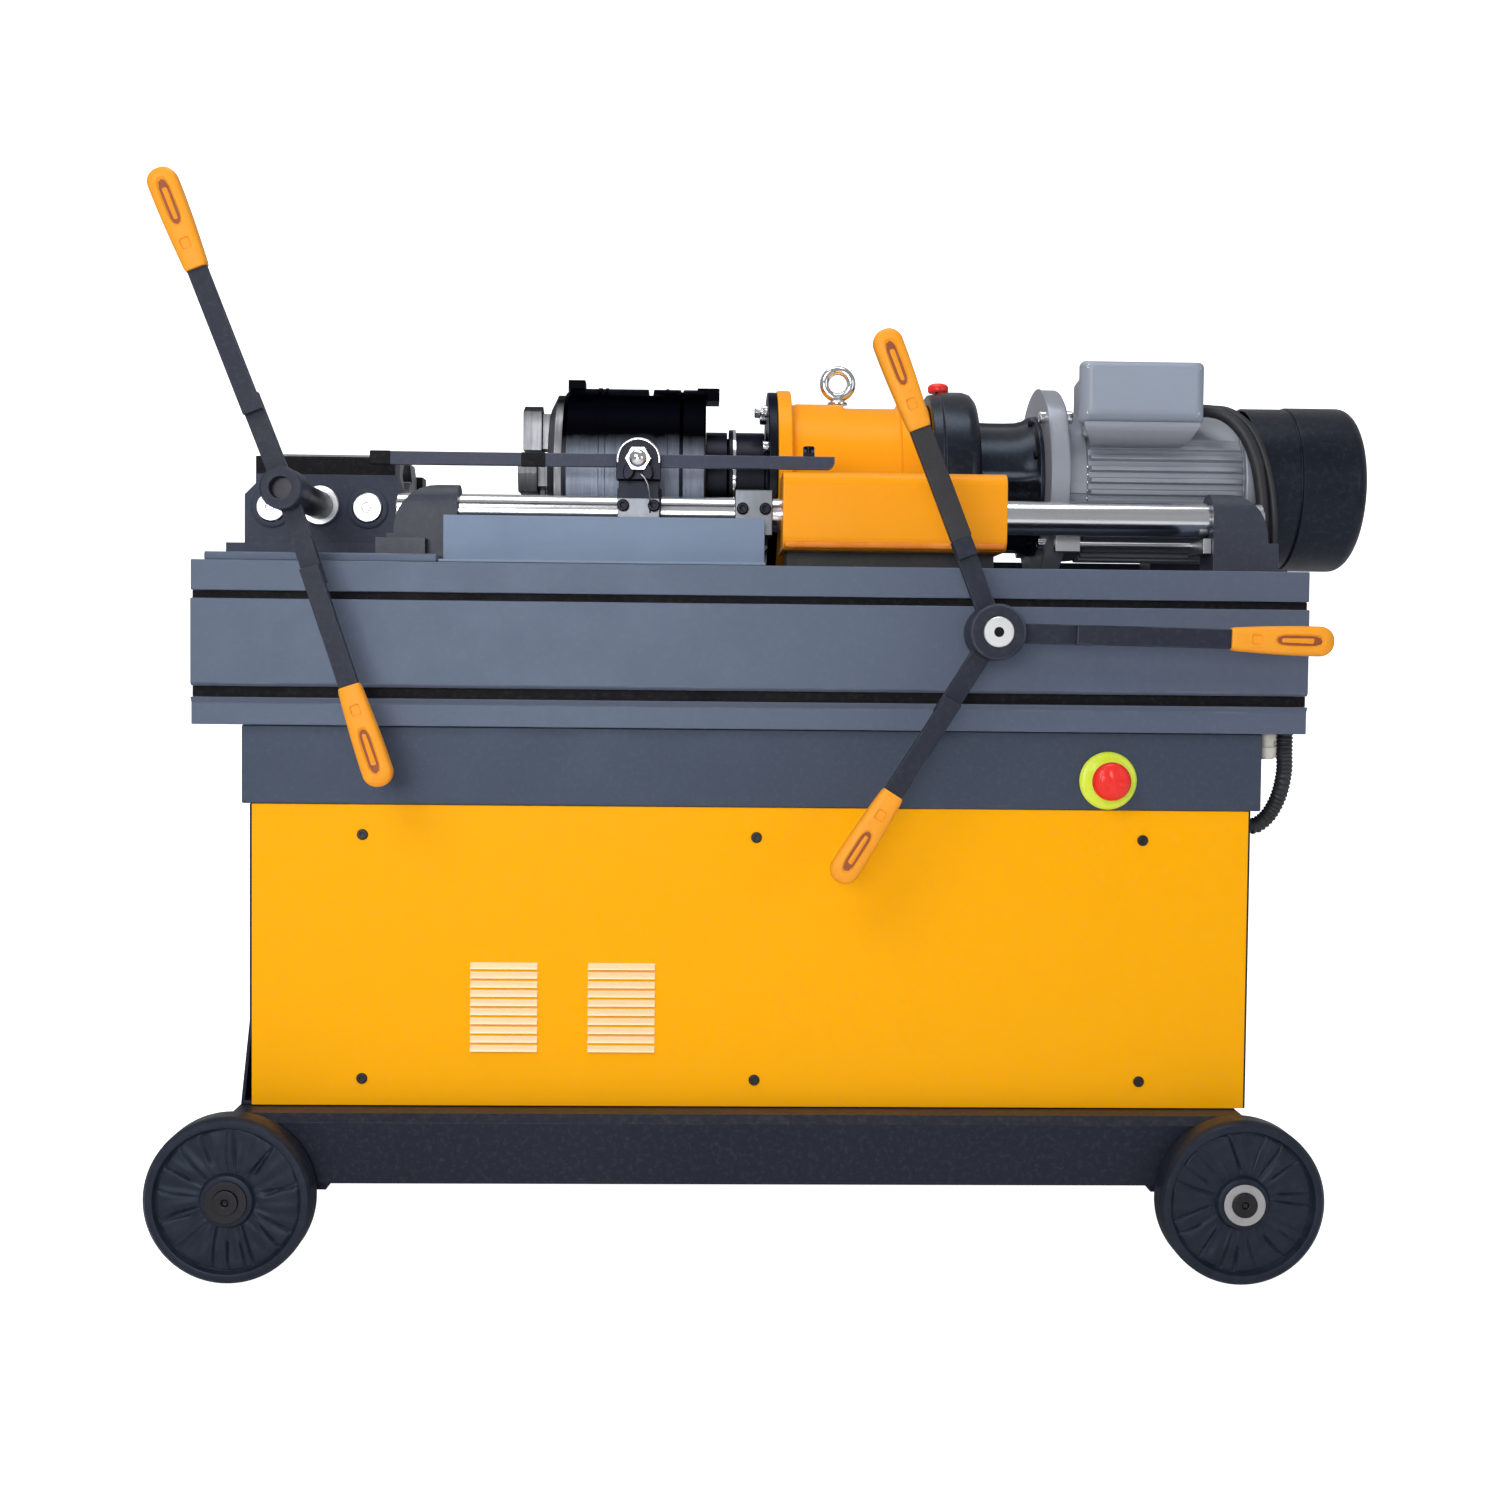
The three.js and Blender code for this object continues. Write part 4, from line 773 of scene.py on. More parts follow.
for side in ("left", "right"):
    low, high = box_mm(f"vise_guide_bar_{side}")
    x, z = (low + high)[[0, 2]] / 2
    profile = [(low[1], 0), (low[1], 3), (low[1] + 1, 4), (low[1] + 1, 5), (low[1], 6), (low[1], 14.6),
               (low[1] + 1.4, 16), (high[1] - 1.4, 16), (high[1], 14.6), (high[1], 0)]
    made(f"vise_bar_{side}", built([revolved(profile, "y", (x, 0, z), 64)], 0.0), bar_end_steel, "frame",
         "bright_steel", f"vise_guide_bar_{side}")
    ring = [(-112.4, 16.6), (-112.4, 21), (-113.6, 22), (-114.6, 20.5), (-114.6, 16.6)]
    made(f"vise_bar_bush_{side}", built([revolved(ring, "y", (x, 0, z), 64)], 0.0), vise_enamel, "frame",
         "slate_paint")


# ---- Vise lever and feed handle ----
# Each handle is a turned hub with flat bars, in two lapped and welded lengths, painted slate. The ends
# carry flattened grips moulded in orange plastic, each with a long hollow in its broad faces.

grip_orange = moulded("grip_orange", (0.92, 0.345, 0.018), (0.94, 0.40, 0.05), gloss=(0.34, 0.5), grain=0.12,
                      Specular_IOR_Level=0.2)
# A darker copy of the orange plastic: painted shade at the bottom of the grips' hollows.
grip_hollow_shade = moulded("grip_hollow_shade", (0.26, 0.055, 0.008), (0.45, 0.14, 0.04), gloss=(0.5, 0.65), grain=0.3)
handle_enamel = enamel("handle_enamel", (0.020, 0.024, 0.038), (0.09, 0.10, 0.14), gloss=(0.36, 0.48),
                       dust=0.0, Specular_IOR_Level=0.15)
dark_wrap = moulded("dark_wrap", (0.012, 0.012, 0.014), (0.035, 0.035, 0.04), gloss=(0.5, 0.7), grain=0.5)


def swung(part, angle, place):
    """A part drawn along +X and turned about Y to an angle above +X, at a place in the X-Z plane."""
    points, faces = part
    c, s = cos(radians(angle)), sin(radians(angle))
    x, y, z = points.T
    return np.column_stack([place[0] + c * x - s * z, y, place[1] + s * x + c * z]), faces


def bar_lengths(hub_radius, reach, lap=90):
    """The two lapped lengths of one handle bar, drawn along +X."""
    inner = slab((hub_radius - 7, -290.4, -10), (lap + 9, -280.4, 10))
    outer = slab((lap - 10, -300, -9.8), (reach - 12, -290.2, 9.8))
    return [inner, outer]


def grip_part(reach, length=104.0):
    """A moulded grip along +X: a superellipse section that swells towards a rounded end, with a long oval
    hollow and a small pocket pressed into each broad face."""
    start = reach - length
    t = np.linspace(0, 1, 120)[:, None]
    around = np.linspace(0, 2 * pi, 104, endpoint=False)[None, :]
    round_tip = np.sqrt(np.clip(1 - np.clip((t - 0.86) / 0.14, 0, 1) ** 2, 0, 1))
    round_neck = 0.90 + 0.10 * np.clip(t / 0.04, 0, 1) ** 0.5
    half_wide = (11.6 + 3.4 * np.sin(np.clip(t, 0, 1) * pi * 0.62)) * np.maximum(round_tip, 0.02) * round_neck
    half_thick = (9.4 + 1.4 * np.sin(t * pi * 0.6)) * np.maximum(round_tip ** 0.8, 0.02) * round_neck
    power = 2 / 3.6
    across = half_wide * np.sign(np.cos(around)) * np.abs(np.cos(around)) ** power
    deep = half_thick * np.sign(np.sin(around)) * np.abs(np.sin(around)) ** power
    oval = np.clip((1 - ((t - 0.65) / 0.24) ** 4 - (across / 6.2) ** 2) * 4, 0, 1)
    tongue = np.clip((1 - ((t - 0.63) / 0.16) ** 4 - (across / 2.6) ** 2) * 3, 0, 1)
    pocket = np.clip((1 - ((t - 0.24) / 0.055) ** 4 - (across / 4.8) ** 4) * 3, 0, 1)
    on_face = np.abs(np.sin(around)) > 0.35
    press = (2.6 * oval - 2.0 * tongue * oval + 1.8 * pocket) * on_face
    deep = deep - np.sign(deep) * press
    points = np.stack([np.broadcast_to(start + t * length, across.shape), -295 + deep, across], axis=-1)
    faces = grid_faces(120, 104, wrap_columns=True).tolist()
    faces += [list(range(104))[::-1], list(range(119 * 104, 120 * 104))]
    return points.reshape(-1, 3), faces


def hollow_floor(reach, length=104.0):
    """Painted shade at the bottom of a grip's two oval hollows: a dark ring round the raised tongue."""
    t = np.linspace(0, 2 * pi, 56, endpoint=False)
    u, v = np.sign(np.cos(t)) * np.abs(np.cos(t)) ** 0.5, np.sign(np.sin(t)) * np.abs(np.sin(t)) ** 0.8
    middle = reach - length * 0.35
    parts = []
    for y0, y1 in ((-303.6, -302.2), (-287.8, -286.4)):
        outer, inner = (middle + 0.215 * length * u, 4.9 * v), (middle - 2 + 0.15 * length * u, 2.2 * v)
        loop = [(outer, y0), (outer, y1), (inner, y1), (inner, y0)]
        rows = np.stack([np.column_stack([x, np.full(56, y), z]) for (x, z), y in loop])
        parts.append((rows.reshape(-1, 3), grid_faces(4, 56, wrap_rows=True, wrap_columns=True).tolist()))
    return parts


def handle(node, hub_radius, bore, arms, place, grip_nodes, body):
    """A whole handle: hub, bars and grips, each grip a piece of its own."""
    hub = [(-310, bore), (-310, hub_radius - 1.5), (-308.5, hub_radius), (-262, hub_radius), (-262, bore)]
    parts = [revolved(hub, "y", (place[0], 0, place[1]), 96)]
    for angle, reach in arms:
        parts += [swung(length, angle, place) for length in bar_lengths(hub_radius, reach)]
    made(f"{node}_hub_and_bars", built(parts, 1.0, 2), handle_enamel, body, "slate_paint", node)
    for (angle, reach), grip_node in zip(arms, grip_nodes):
        made(f"{grip_node}_moulding", built([swung(grip_part(reach), angle, place)], 0.0), grip_orange, body,
             "orange_grip", grip_node)
        hollow_shade_rings = [swung(part, angle, place) for part in hollow_floor(reach)]
        made(f"{grip_node}_hollow", built(hollow_shade_rings, 0.0), grip_hollow_shade, body, "orange_grip")


lever_place = (-505.0, 788.0)
handle("vise_lever", 21, 11.0, [(111.5, 331.9), (-71.5, 307)], lever_place,
       ["lever_grip_upper", "lever_grip_lower"], "vise_lever")
feed_place = (198.5, 655.0)
feed_arms = [(111.5, 319), (-1, 338), (238, 294)]
handle("feed_spokes", 28, 13.2, feed_arms, feed_place,
       ["feed_grip_upper", "feed_grip_right", "feed_grip_lower"], "feed_handle")
wrap = slab((99, -300.7, -10.6), (319 - 103, -289.5, 10.6))
made("spoke_wrap", built([swung(wrap, 111.5, feed_place)], 1.5, 3), dark_wrap, "feed_handle", "slate_paint")

screw_steel = machined("screw_steel", (0.42, 0.42, 0.43), (0.2, 0.2, 0.2), streaks=(1, 6, 1),
                       gloss=(0.3, 0.45))
# The screw is black oxide, and its near-black end in the lever hub also paints the dark shade of the hub's
# bore.
screw_black = machined("screw_black", (0.035, 0.035, 0.04), (0.015, 0.015, 0.017), streaks=(1, 6, 1),
                       gloss=(0.3, 0.45))


def threaded(first, last, radius, pitch, depth):
    """A relief that cuts a round-bottomed screw thread between two places along the axis."""

    def relief(along, r, angle):
        inside = (along > first) & (along < last) & (r > radius * 0.9)
        turn = 0.5 + 0.5 * np.cos(2 * pi * along / pitch - angle)
        return along, np.where(inside, r - depth * turn ** 0.6, r)

    return relief


thread_run = [(a, 14.9) for a in np.arange(-84, 84.1, 1.0)]
screw_profile = [(-297, 0), (-297, 10.8), (-262, 10.8), (-262, 14.9), (-113, 14.9), *thread_run, (112, 14.9),
                 (127, 14.9), (128, 14), (128, 0)]
made("vise_screw_bar", built([revolved(screw_profile, "y", (lever_place[0], 0, lever_place[1]), 64,
                                       threaded(-83, 83, 14.9, 8.0, 1.6))], 0.0),
     screw_black, "vise_lever", "bright_steel", "vise_screw")
collar_ring = [(-123, 15), (-123, 20), (-122, 21), (-113.5, 21), (-112.6, 20), (-112.6, 15)]
made("screw_collar", built([revolved(collar_ring, "y", (lever_place[0], 0, lever_place[1]), 64)], 0.0),
     bar_end_steel, "vise_lever", "bright_steel")


# ---- Feed shaft and rack ----
# A turned steel shaft with a pinion cut on its end, and a rack with straight teeth under the saddle.

white_washer = machined("white_washer", (0.80, 0.80, 0.80), (0.6, 0.6, 0.6), gloss=(0.3, 0.45), stains=0.1)


def pinion_teeth(along, radius, angle):
    """Raises twenty rounded teeth of 3 mm module over the length of the pinion."""
    tooth = np.clip(0.5 + 0.9 * np.cos(20 * (angle - pi / 2)), 0, 1)
    return along, np.where((along > -150.1) & (along < -119.9) & (radius > 20), 26.4 + 6.5 * tooth, radius)


shaft = [(-309.5, 0), (-309.5, 12.9), (-150.1, 12.9), (-150, 26.4), (-135, 26.4), (-120, 26.4),
         (-119.8, 12.9), (-117, 12.9), (-116, 12), (-116, 0)]
made("pinion_shaft", built([revolved(shaft, "y", (feed_place[0], 0, feed_place[1]), 240, pinion_teeth)], 0.0),
     screw_steel, "feed_handle", "bright_steel", "feed_shaft")
washer = [(-313.0, 5), (-313.0, 14.4), (-312.4, 15), (-310.6, 15), (-310.2, 14.6), (-310.2, 5)]
made("hub_washer", built([revolved(washer, "y", (feed_place[0], 0, feed_place[1]), 64)], 0.0), white_washer,
     "feed_handle", "bright_steel")
# A black disc in the washer's hole is painted shade standing for the dark bore of the hub.
made("hub_bore_shade_disc", built([revolved([(-312.3, 0), (-312.3, 5.2), (-309, 5.2), (-309, 0)], "y",
                                      (feed_place[0], 0, feed_place[1]), 32)], 0.0),
     black_and_painted_shade, "feed_handle", "blackened_steel")
made("rack_bar", softened("feed_rack", 0.3, steps=1), screw_steel, "carriage", "bright_steel", "feed_rack")


# ---- Carriage saddle and cover ----
# A cast-iron saddle slides on both rods and carries the gearbox. A folded cover in yellow enamel closes its
# front sleeve, with rounded edges above and below.

saddle_iron = enamel("saddle_iron", (0.035, 0.036, 0.04), (0.10, 0.10, 0.11), gloss=(0.45, 0.6), peel=0.4)
made("saddle_casting", softened("carriage_saddle", 1.6, sharp=35), saddle_iron, "carriage", "cast_iron",
     "carriage_saddle")
carriage_yellow = enamel("carriage_yellow", (0.96, 0.345, 0.004), (1.0, 0.48, 0.09), gloss=(0.24, 0.36),
                         dust=0.02, scuffs=0.25, peel=0.15, Specular_IOR_Level=0.12)
cover_low, cover_high = box_mm("carriage_cover")
made("folded_cover", softened("carriage_cover", 1.2, steps=3, sharp=40), carriage_yellow, "carriage",
     "yellow_paint", "carriage_cover")

# The darker orange lip along the cover's lower edge is painted shade on the cover's underside.
lip_painted_shade = enamel("lip_painted_shade", (0.72, 0.19, 0.004), (0.9, 0.35, 0.05), gloss=(0.3, 0.4), dust=0.05)
lip = [slab((cover_low[0] + 1.5, -210.6, cover_low[2] + 1.5),
            (cover_high[0] - 1.5, -196.5, cover_low[2] + 8.5))]
made("cover_lip", built(lip, 3.2, 4), lip_painted_shade, "carriage", "yellow_paint")


# ---- Gearbox ----
# A cast housing in yellow enamel with a machined flange, a raised pad under the lifting eye, and a black
# bearing cover bolted to its front.

spindle_z = 830.0
on_axis = (0, 0, spindle_z)
gearbox_yellow = enamel("gearbox_yellow", (0.96, 0.350, 0.002), (1.0, 0.46, 0.05), gloss=(0.26, 0.4),
                        dust=0.0, scuffs=0.3, peel=0.25, Specular_IOR_Level=0.10)
casing = [(-11.6, 60), (-11.6, 103.5), (-10.4, 104.6), (2.6, 104.6), (4, 103.4), (4, 92), (7, 88.6), (11, 88),
          (62, 88), (66, 86), (122, 86), (125, 88), (126, 91), (157, 91), (158.4, 89.8), (158.4, 60)]


def cast_pad(along, radius, angle):
    """A flat raised pad on top of the casing."""
    top = np.exp(-((angle - pi / 2) / 0.42) ** 8)
    on_body = (along > 8) & (along < 64) & (radius > 80)
    return along, np.where(on_body, radius + 2.0 * top, radius)


foot = slab((14, -70, 722.3), (120, 70, 762))
made("gearbox_casting", built([revolved(casing, "x", on_axis, 128, cast_pad), foot], 1.0, 3), gearbox_yellow,
     "carriage", "yellow_paint", "gearbox_housing")
cover_plate = [(-22, 60.5), (-22, 101.5), (-21, 102.6), (-12.2, 102.6), (-11.9, 102), (-11.9, 60.5)]
made("bearing_cover", built([revolved(cover_plate, "x", on_axis, 128)], 0.8), black_oxide, "carriage",
     "blackened_steel")
cover_bolts = []
for k in range(8):
    a = radians(22.5 + 45 * k)
    cover_bolts.append(round_head((-21.9, 84 * cos(a), spindle_z + 84 * sin(a)), "x", 6.5, 7, -1, socket=3.2))
vent = [(-22, 0), (-22, 5.5), (-26, 5.5), (-26.5, 3.2), (-30, 3.2), (-30.5, 6.2), (-36, 6.2), (-37, 5),
        (-37, 0)]
cover_bolts.append(revolved(vent, "x", (0, -42, 904), 6))
made("bearing_cover_bolts", built(cover_bolts, 0.4), plated, "carriage", "bright_steel")

eye_low, eye_high = box_mm("eyebolt")
eye_x = (eye_low[0] + eye_high[0]) / 2
t = np.linspace(0, 2 * pi, 64, endpoint=False)[:, None]
p = np.linspace(0, 2 * pi, 24, endpoint=False)[None, :]
eye_points = np.stack([eye_x + (15.4 + 5.2 * np.cos(p)) * np.cos(t), 5.2 * np.sin(p) + 0 * t,
                       944.2 + (15.4 + 5.2 * np.cos(p)) * np.sin(t)], axis=-1).reshape(-1, 3)
eye_ring = (eye_points, grid_faces(64, 24, wrap_rows=True, wrap_columns=True).tolist())
eye_collar = revolved([(920.2, 0), (920.2, 11.5), (922.6, 11.5), (924.5, 8), (929, 6), (930.5, 0)], "z",
                      (eye_x, 0, 0), 48)
made("lifting_eye", built([eye_ring, eye_collar], 0.5), plated, "carriage", "bright_steel", "eyebolt")


# ---- Reducer ----
# A gear reducer in gloss black enamel, tapering to the motor adapter, with a red moulded oil cap on top.

gloss_black = enamel("gloss_black", (0.005, 0.006, 0.010), (0.03, 0.034, 0.045), gloss=(0.24, 0.36),
                     dust=0.02, Specular_IOR_Level=0.4, Specular_Tint=(0.6, 0.75, 1.0, 1))
reducer = [(159.2, 58), (159.2, 100), (160.5, 102), (170, 103), (172, 105.5), (198, 105.5), (206, 103),
           (211, 97), (213, 88), (214, 72), (216, 67), (232, 66.5), (250, 66.5), (262, 67), (270, 69),
           (277, 73), (280, 79.5), (284.3, 79.5), (284.3, 30), (206, 30), (206, 58)]


def reducer_ribs(along, radius, angle):
    """Four low cast ribs along the adapter."""
    rib = np.clip(np.cos(4 * angle), 0, 1) ** 12
    return along, np.where((along > 214) & (along < 279) & (radius > 60), radius + 6 * rib, radius)


made("reducer_casting", built([revolved(reducer, "x", on_axis, 144, reducer_ribs)], 0.8, 2, 35), gloss_black,
     "carriage", "blackened_steel", "reducer_housing")
cap_low, cap_high = box_mm("oil_cap")
cap_x = (cap_low[0] + cap_high[0]) / 2
cap_profile = [(cap_low[2] - 1.0, 0), (cap_low[2] - 1.0, 10.5), (cap_low[2] + 1.2, 11.8),
               (cap_low[2] + 6, 11.8), (cap_low[2] + 8.6, 9.6), (cap_high[2] - 0.3, 6), (cap_high[2], 0)]
made("filler_cap", built([revolved(cap_profile, "z", (cap_x, 0, 0), 48)], 0.4), red_gloss, "carriage",
     "red_plastic", "oil_cap")
reducer_bolts = []
for k in range(8):
    a = radians(22.5 + 45 * k)
    reducer_bolts.append(round_head((277.6, 73.5 * cos(a), spindle_z + 73.5 * sin(a)), "x", 4.4, 4, -1,
                                    socket=2.2))
made("reducer_bolts", built(reducer_bolts, 0.3), black_oxide, "carriage", "blackened_steel")


# ---- Motor ----
# A flange motor die-cast in aluminium and sprayed light grey: a round flange, a finned barrel with cast
# bosses, a junction box on its shoulder and a pressed black cowl over the fan.

motor_grey = enamel("motor_grey", (0.31, 0.33, 0.385), (0.50, 0.52, 0.56), gloss=(0.36, 0.5), dust=0.06,
                    peel=0.35, Metallic=0.35)
flange = [(284.8, 21), (284.8, 108), (286.2, 111), (290, 112), (304, 112), (307, 110.5), (308, 104),
          (309, 90), (311, 85.5), (330, 84), (331, 79), (506, 79), (507, 84), (509, 85.2), (518.6, 85.2),
          (518.6, 62), (302, 62), (302, 21)]


def flange_notches(along, radius, angle):
    """Scallops between the flange's bolt ears."""
    scallop = np.clip(np.cos(4 * (angle - pi / 4)), 0, 1) ** 6
    return along, np.where((along > 288) & (along < 309) & (radius > 100), radius - 2.5 * (1 - scallop),
                           radius)


fin_count = 40
fin_sides = fin_count * 14
barrel = [(332, 62), (332, 79.5), (333, 80), (335, 80), *[(a, 80) for a in np.linspace(345, 495, 4)],
          (503, 80), (505, 79.5), (505, 62)]


def fins(along, radius, angle):
    """Straight fins along the barrel, and a plain swelling on the shoulder under the junction box."""
    wave = np.clip((np.cos(fin_count * angle) + 0.1) * 2.6, 0, 1)
    shoulder = np.exp(-((angle - radians(125)) / radians(30)) ** 6)
    grows = np.clip((along - 333) / 2, 0, 1) * np.clip((505 - along) / 3, 0, 1)
    height = 5.8 * wave * (1 - shoulder) * grows + 3.0 * shoulder * grows
    return along, np.where(radius > 75, radius + height, radius)


bosses = []
for boss_x in (372, 437):
    bosses.append(slab((boss_x, -80.5, 796), (boss_x + 24, -70, 806)))
for boss_z in (772, 790):
    bosses.append(slab((335, -82, boss_z), (505, -72, boss_z + 3.5)))
lugs = [slab((311, -87, 815), (329, -76, 826)), slab((311, -70, 772), (326, -58, 784))]
made("motor_barrel", built([revolved(flange, "x", on_axis, 144, flange_notches),
                            revolved(barrel, "x", on_axis, fin_sides, fins), *bosses, *lugs], 0.7, 2, 40),
     motor_grey, "carriage", "motor_alloy", "motor_housing")
flange_bolts = []
for k in range(4):
    a = radians(45 + 90 * k)
    for start, outward in ((308.2, 1), (284.9, -1)):
        flange_bolts.append(round_head((start, 99 * cos(a), spindle_z + 99 * sin(a)), "x", 7, 7, outward,
                                       3.4))
for k in range(8):
    a = radians(170 + 6 * k)
    flange_bolts.append(round_head((331.4, 82.2 * cos(a), spindle_z + 82.2 * sin(a)), "x", 2.0, 2.4, -1))
made("flange_bolts", built(flange_bolts, 0.3), plated, "carriage", "bright_steel")

box_paint = enamel("box_paint", (0.29, 0.335, 0.415), (0.42, 0.46, 0.53), gloss=(0.3, 0.42), dust=0.08,
                   peel=0.15)
box_low, box_high = box_mm("junction_box")


def loft(sections):
    """Rounded rectangles (y, x0, x1, z0, z1, corner) joined one to the next along Y, with capped ends."""
    steps = np.linspace(0, pi / 2, 7)
    rows = []
    for y, x0, x1, z0, z1, corner in sections:
        ring = []
        for cx, cz, start in ((x1 - corner, z1 - corner, 0), (x0 + corner, z1 - corner, pi / 2),
                              (x0 + corner, z0 + corner, pi), (x1 - corner, z0 + corner, 1.5 * pi)):
            ring.append(np.column_stack([cx + corner * np.cos(start + steps), np.full(7, y),
                                         cz + corner * np.sin(start + steps)]))
        rows.append(np.concatenate(ring))
    count = len(rows[0])
    faces = grid_faces(len(rows), count, wrap_columns=True).tolist()
    faces += [list(range(count)), list(range((len(rows) - 1) * count, len(rows) * count))[::-1]]
    return np.concatenate(rows), faces


x0, x1, z0, z1 = box_low[0], box_high[0], box_low[2], box_high[2]
lid = loft([(-100, x0 + 1, x1 - 1, z0 + 22, z1, 5), (-109, x0, x1, z0 + 22, z1, 6),
            (-116, x0 + 2, x1 - 2, z0 + 25, z1 - 1.2, 6), (-121, x0 + 7, x1 - 8, z0 + 31, z1 - 3.5, 6),
            (-123.4, x0 + 12, x1 - 14, z0 + 37, z1 - 8, 7)])
tub = loft([(4, x0 + 16, x1 - 20, z0 + 16, z1 - 6, 6), (-60, x0 + 12, x1 - 18, z0 + 12, z1 - 4, 6),
            (-99, x0 + 6, x1 - 8, z0 + 10, z1 - 2, 5), (-101.5, x0 + 6, x1 - 8, z0 + 14, z1 - 2, 5)])
lip_low = loft([(-58, x0 + 20, x1 - 24, z0 + 1, z0 + 26, 4), (-99, x0 + 14, x1 - 16, z0, z0 + 26, 4),
                (-108, x0 + 11, x1 - 13, z0 + 3, z0 + 25, 4), (-115, x0 + 5, x1 - 7, z0 + 13, z0 + 24, 4),
                (-118.5, x0 + 4, x1 - 5, z0 + 19, z0 + 23.6, 2)])
made("terminal_box", built([tub, lip_low], 0.0), motor_grey, "carriage", "box_grey", "junction_box")
made("terminal_lid", built([lid], 0.0), box_paint, "carriage", "box_grey")
lid_screws = [round_head((x, -118.6, z), "y", 3.4, 2.0, -1, socket=1.6)
              for x in (x0 + 9, x1 - 10) for z in (z0 + 33, z1 - 8)]
made("lid_screws", built(lid_screws, 0.2), plated, "carriage", "bright_steel")

cowl_black = enamel("cowl_black", (0.005, 0.006, 0.011), (0.03, 0.034, 0.045), gloss=(0.28, 0.42), dust=0.02,
                    Specular_IOR_Level=0.35, Specular_Tint=(0.6, 0.75, 1.0, 1))
dome_run = [(628 + 17 * sin(t), 93 - 22 * (1 - cos(t))) for t in np.linspace(0, pi / 2, 10)]
cowl = [(519.6, 89), (519.6, 91.6), (566.4, 91.6), (567.2, 90.4), (568.4, 90.4), (569.4, 93), (600, 93),
        *dome_run, (645.6, 66), (645.8, 60)]
cowl_inner = [(642.5, 60), (641, 72), (634, 84), (624, 89.6), (570, 89.6), (567, 89), (540, 89)]
made("cowl_pressing", built([revolved(cowl + cowl_inner, "x", on_axis, 144)], 0.5), cowl_black, "carriage",
     "blackened_steel", "fan_cowl")
grille = [revolved([(642.6, r - 1.6), (642.6, r + 1.6), (645.6, r + 1.6), (645.6, r - 1.6)], "x", on_axis, 96)
          for r in (10, 18, 26, 34, 42, 50, 58)]
for k in range(8):
    a = radians(22.5 + 45 * k)
    spoke = slab((642.4, 8, -1.6), (644.6, 60, 1.6))
    c, s = cos(a), sin(a)
    x, y, z = spoke[0].T
    grille.append((np.column_stack([x, c * y - s * z, spindle_z + s * y + c * z]), spoke[1]))
made("cowl_grille", built(grille, 0.4), cowl_black, "carriage", "blackened_steel")
made("rotor_and_fan", softened("motor_rotor", 0.6, sharp=40), saddle_iron, "rotor", "cast_iron",
     "motor_rotor")


# ---- Leads ----
# The motor lead is a rubber-sheathed cable with a thinner control lead beside it. It leaves the junction
# box through a gland, and drops past the barrel into the bed. A ribbed conduit joins the bed to the
# cabinet's side.

def catmull_rom(points, steps):
    """A smooth curve through the points: a cubic between each pair, its slopes from the neighbours."""
    points = np.array(points, float)
    padded = np.vstack([2 * points[0] - points[1], points, 2 * points[-1] - points[-2]])
    t = np.linspace(0, 1, steps, endpoint=False)[:, None]
    spans = []
    for a, b, c, d in zip(padded[:-3], padded[1:-2], padded[2:-1], padded[3:]):
        spans.append(0.5 * (2 * b + (c - a) * t + (2 * a - 5 * b + 4 * c - d) * t ** 2
                            + (3 * b - a - 3 * c + d) * t ** 3))
    return np.vstack([*spans, points[-1:]])


def sheathed(route, radius, sides=24, swell=None):
    """A round section carried along a route in frames that never twist; swell(distance) scales its radius."""
    step = np.gradient(route, axis=0)
    tangent = step / np.linalg.norm(step, axis=1)[:, None]
    normals = [np.cross(tangent[0], (0.3, 1, 0.2))]
    for direction in tangent[1:]:
        normals.append(normals[-1] - direction * np.dot(normals[-1], direction))
    normal = np.array(normals)
    normal /= np.linalg.norm(normal, axis=1)[:, None]
    side = np.cross(tangent, normal)
    distance = np.concatenate([[0], np.cumsum(np.linalg.norm(np.diff(route, axis=0), axis=1))])
    size = radius * (swell(distance) if swell else np.ones(len(route)))
    angle = np.linspace(0, 2 * pi, sides, endpoint=False)
    ring = np.cos(angle)[None, :, None] * normal[:, None] + np.sin(angle)[None, :, None] * side[:, None]
    points = route[:, None] + size[:, None, None] * ring
    faces = grid_faces(len(route), sides, wrap_columns=True).tolist()
    faces += [list(range(sides))[::-1], list(range((len(route) - 1) * sides, len(route) * sides))]
    return points.reshape(-1, 3), faces


lead_rubber = moulded("lead_rubber", (0.012, 0.012, 0.015), (0.05, 0.052, 0.06), gloss=(0.42, 0.6), grain=0.3)
lead_points = [(444, -68, 908), (466, -78, 908), (484, -88, 900), (500, -98, 880), (511, -104, 852),
               (517, -106, 820), (520, -106, 785), (520, -104, 752), (519, -102, 723)]
lead_route = catmull_rom(lead_points, 10)
thin_route = catmull_rom([(444, -56, 912), (462, -66, 912), (486, -82, 908), (506, -94, 890),
                          (519, -101, 862), (527, -108, 826), (531, -110, 785), (531, -108, 752),
                          (529, -106, 723)], 10)
lead_shape = built([sheathed(lead_route, 7.0), sheathed(thin_route, 4.0, 16)], 0.0)
lead_mesh = bpy.data.meshes.new("motor_lead")
lead_shape.to_mesh(lead_mesh)
lead_shape.free()
lead_mesh.shade_smooth()
lead_mesh.materials.append(lead_rubber)
motor_lead = bpy.data.objects.new("motor_lead", lead_mesh)
bpy.context.scene.collection.objects.link(motor_lead)
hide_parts("motor_cable")
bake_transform(motor_lead)

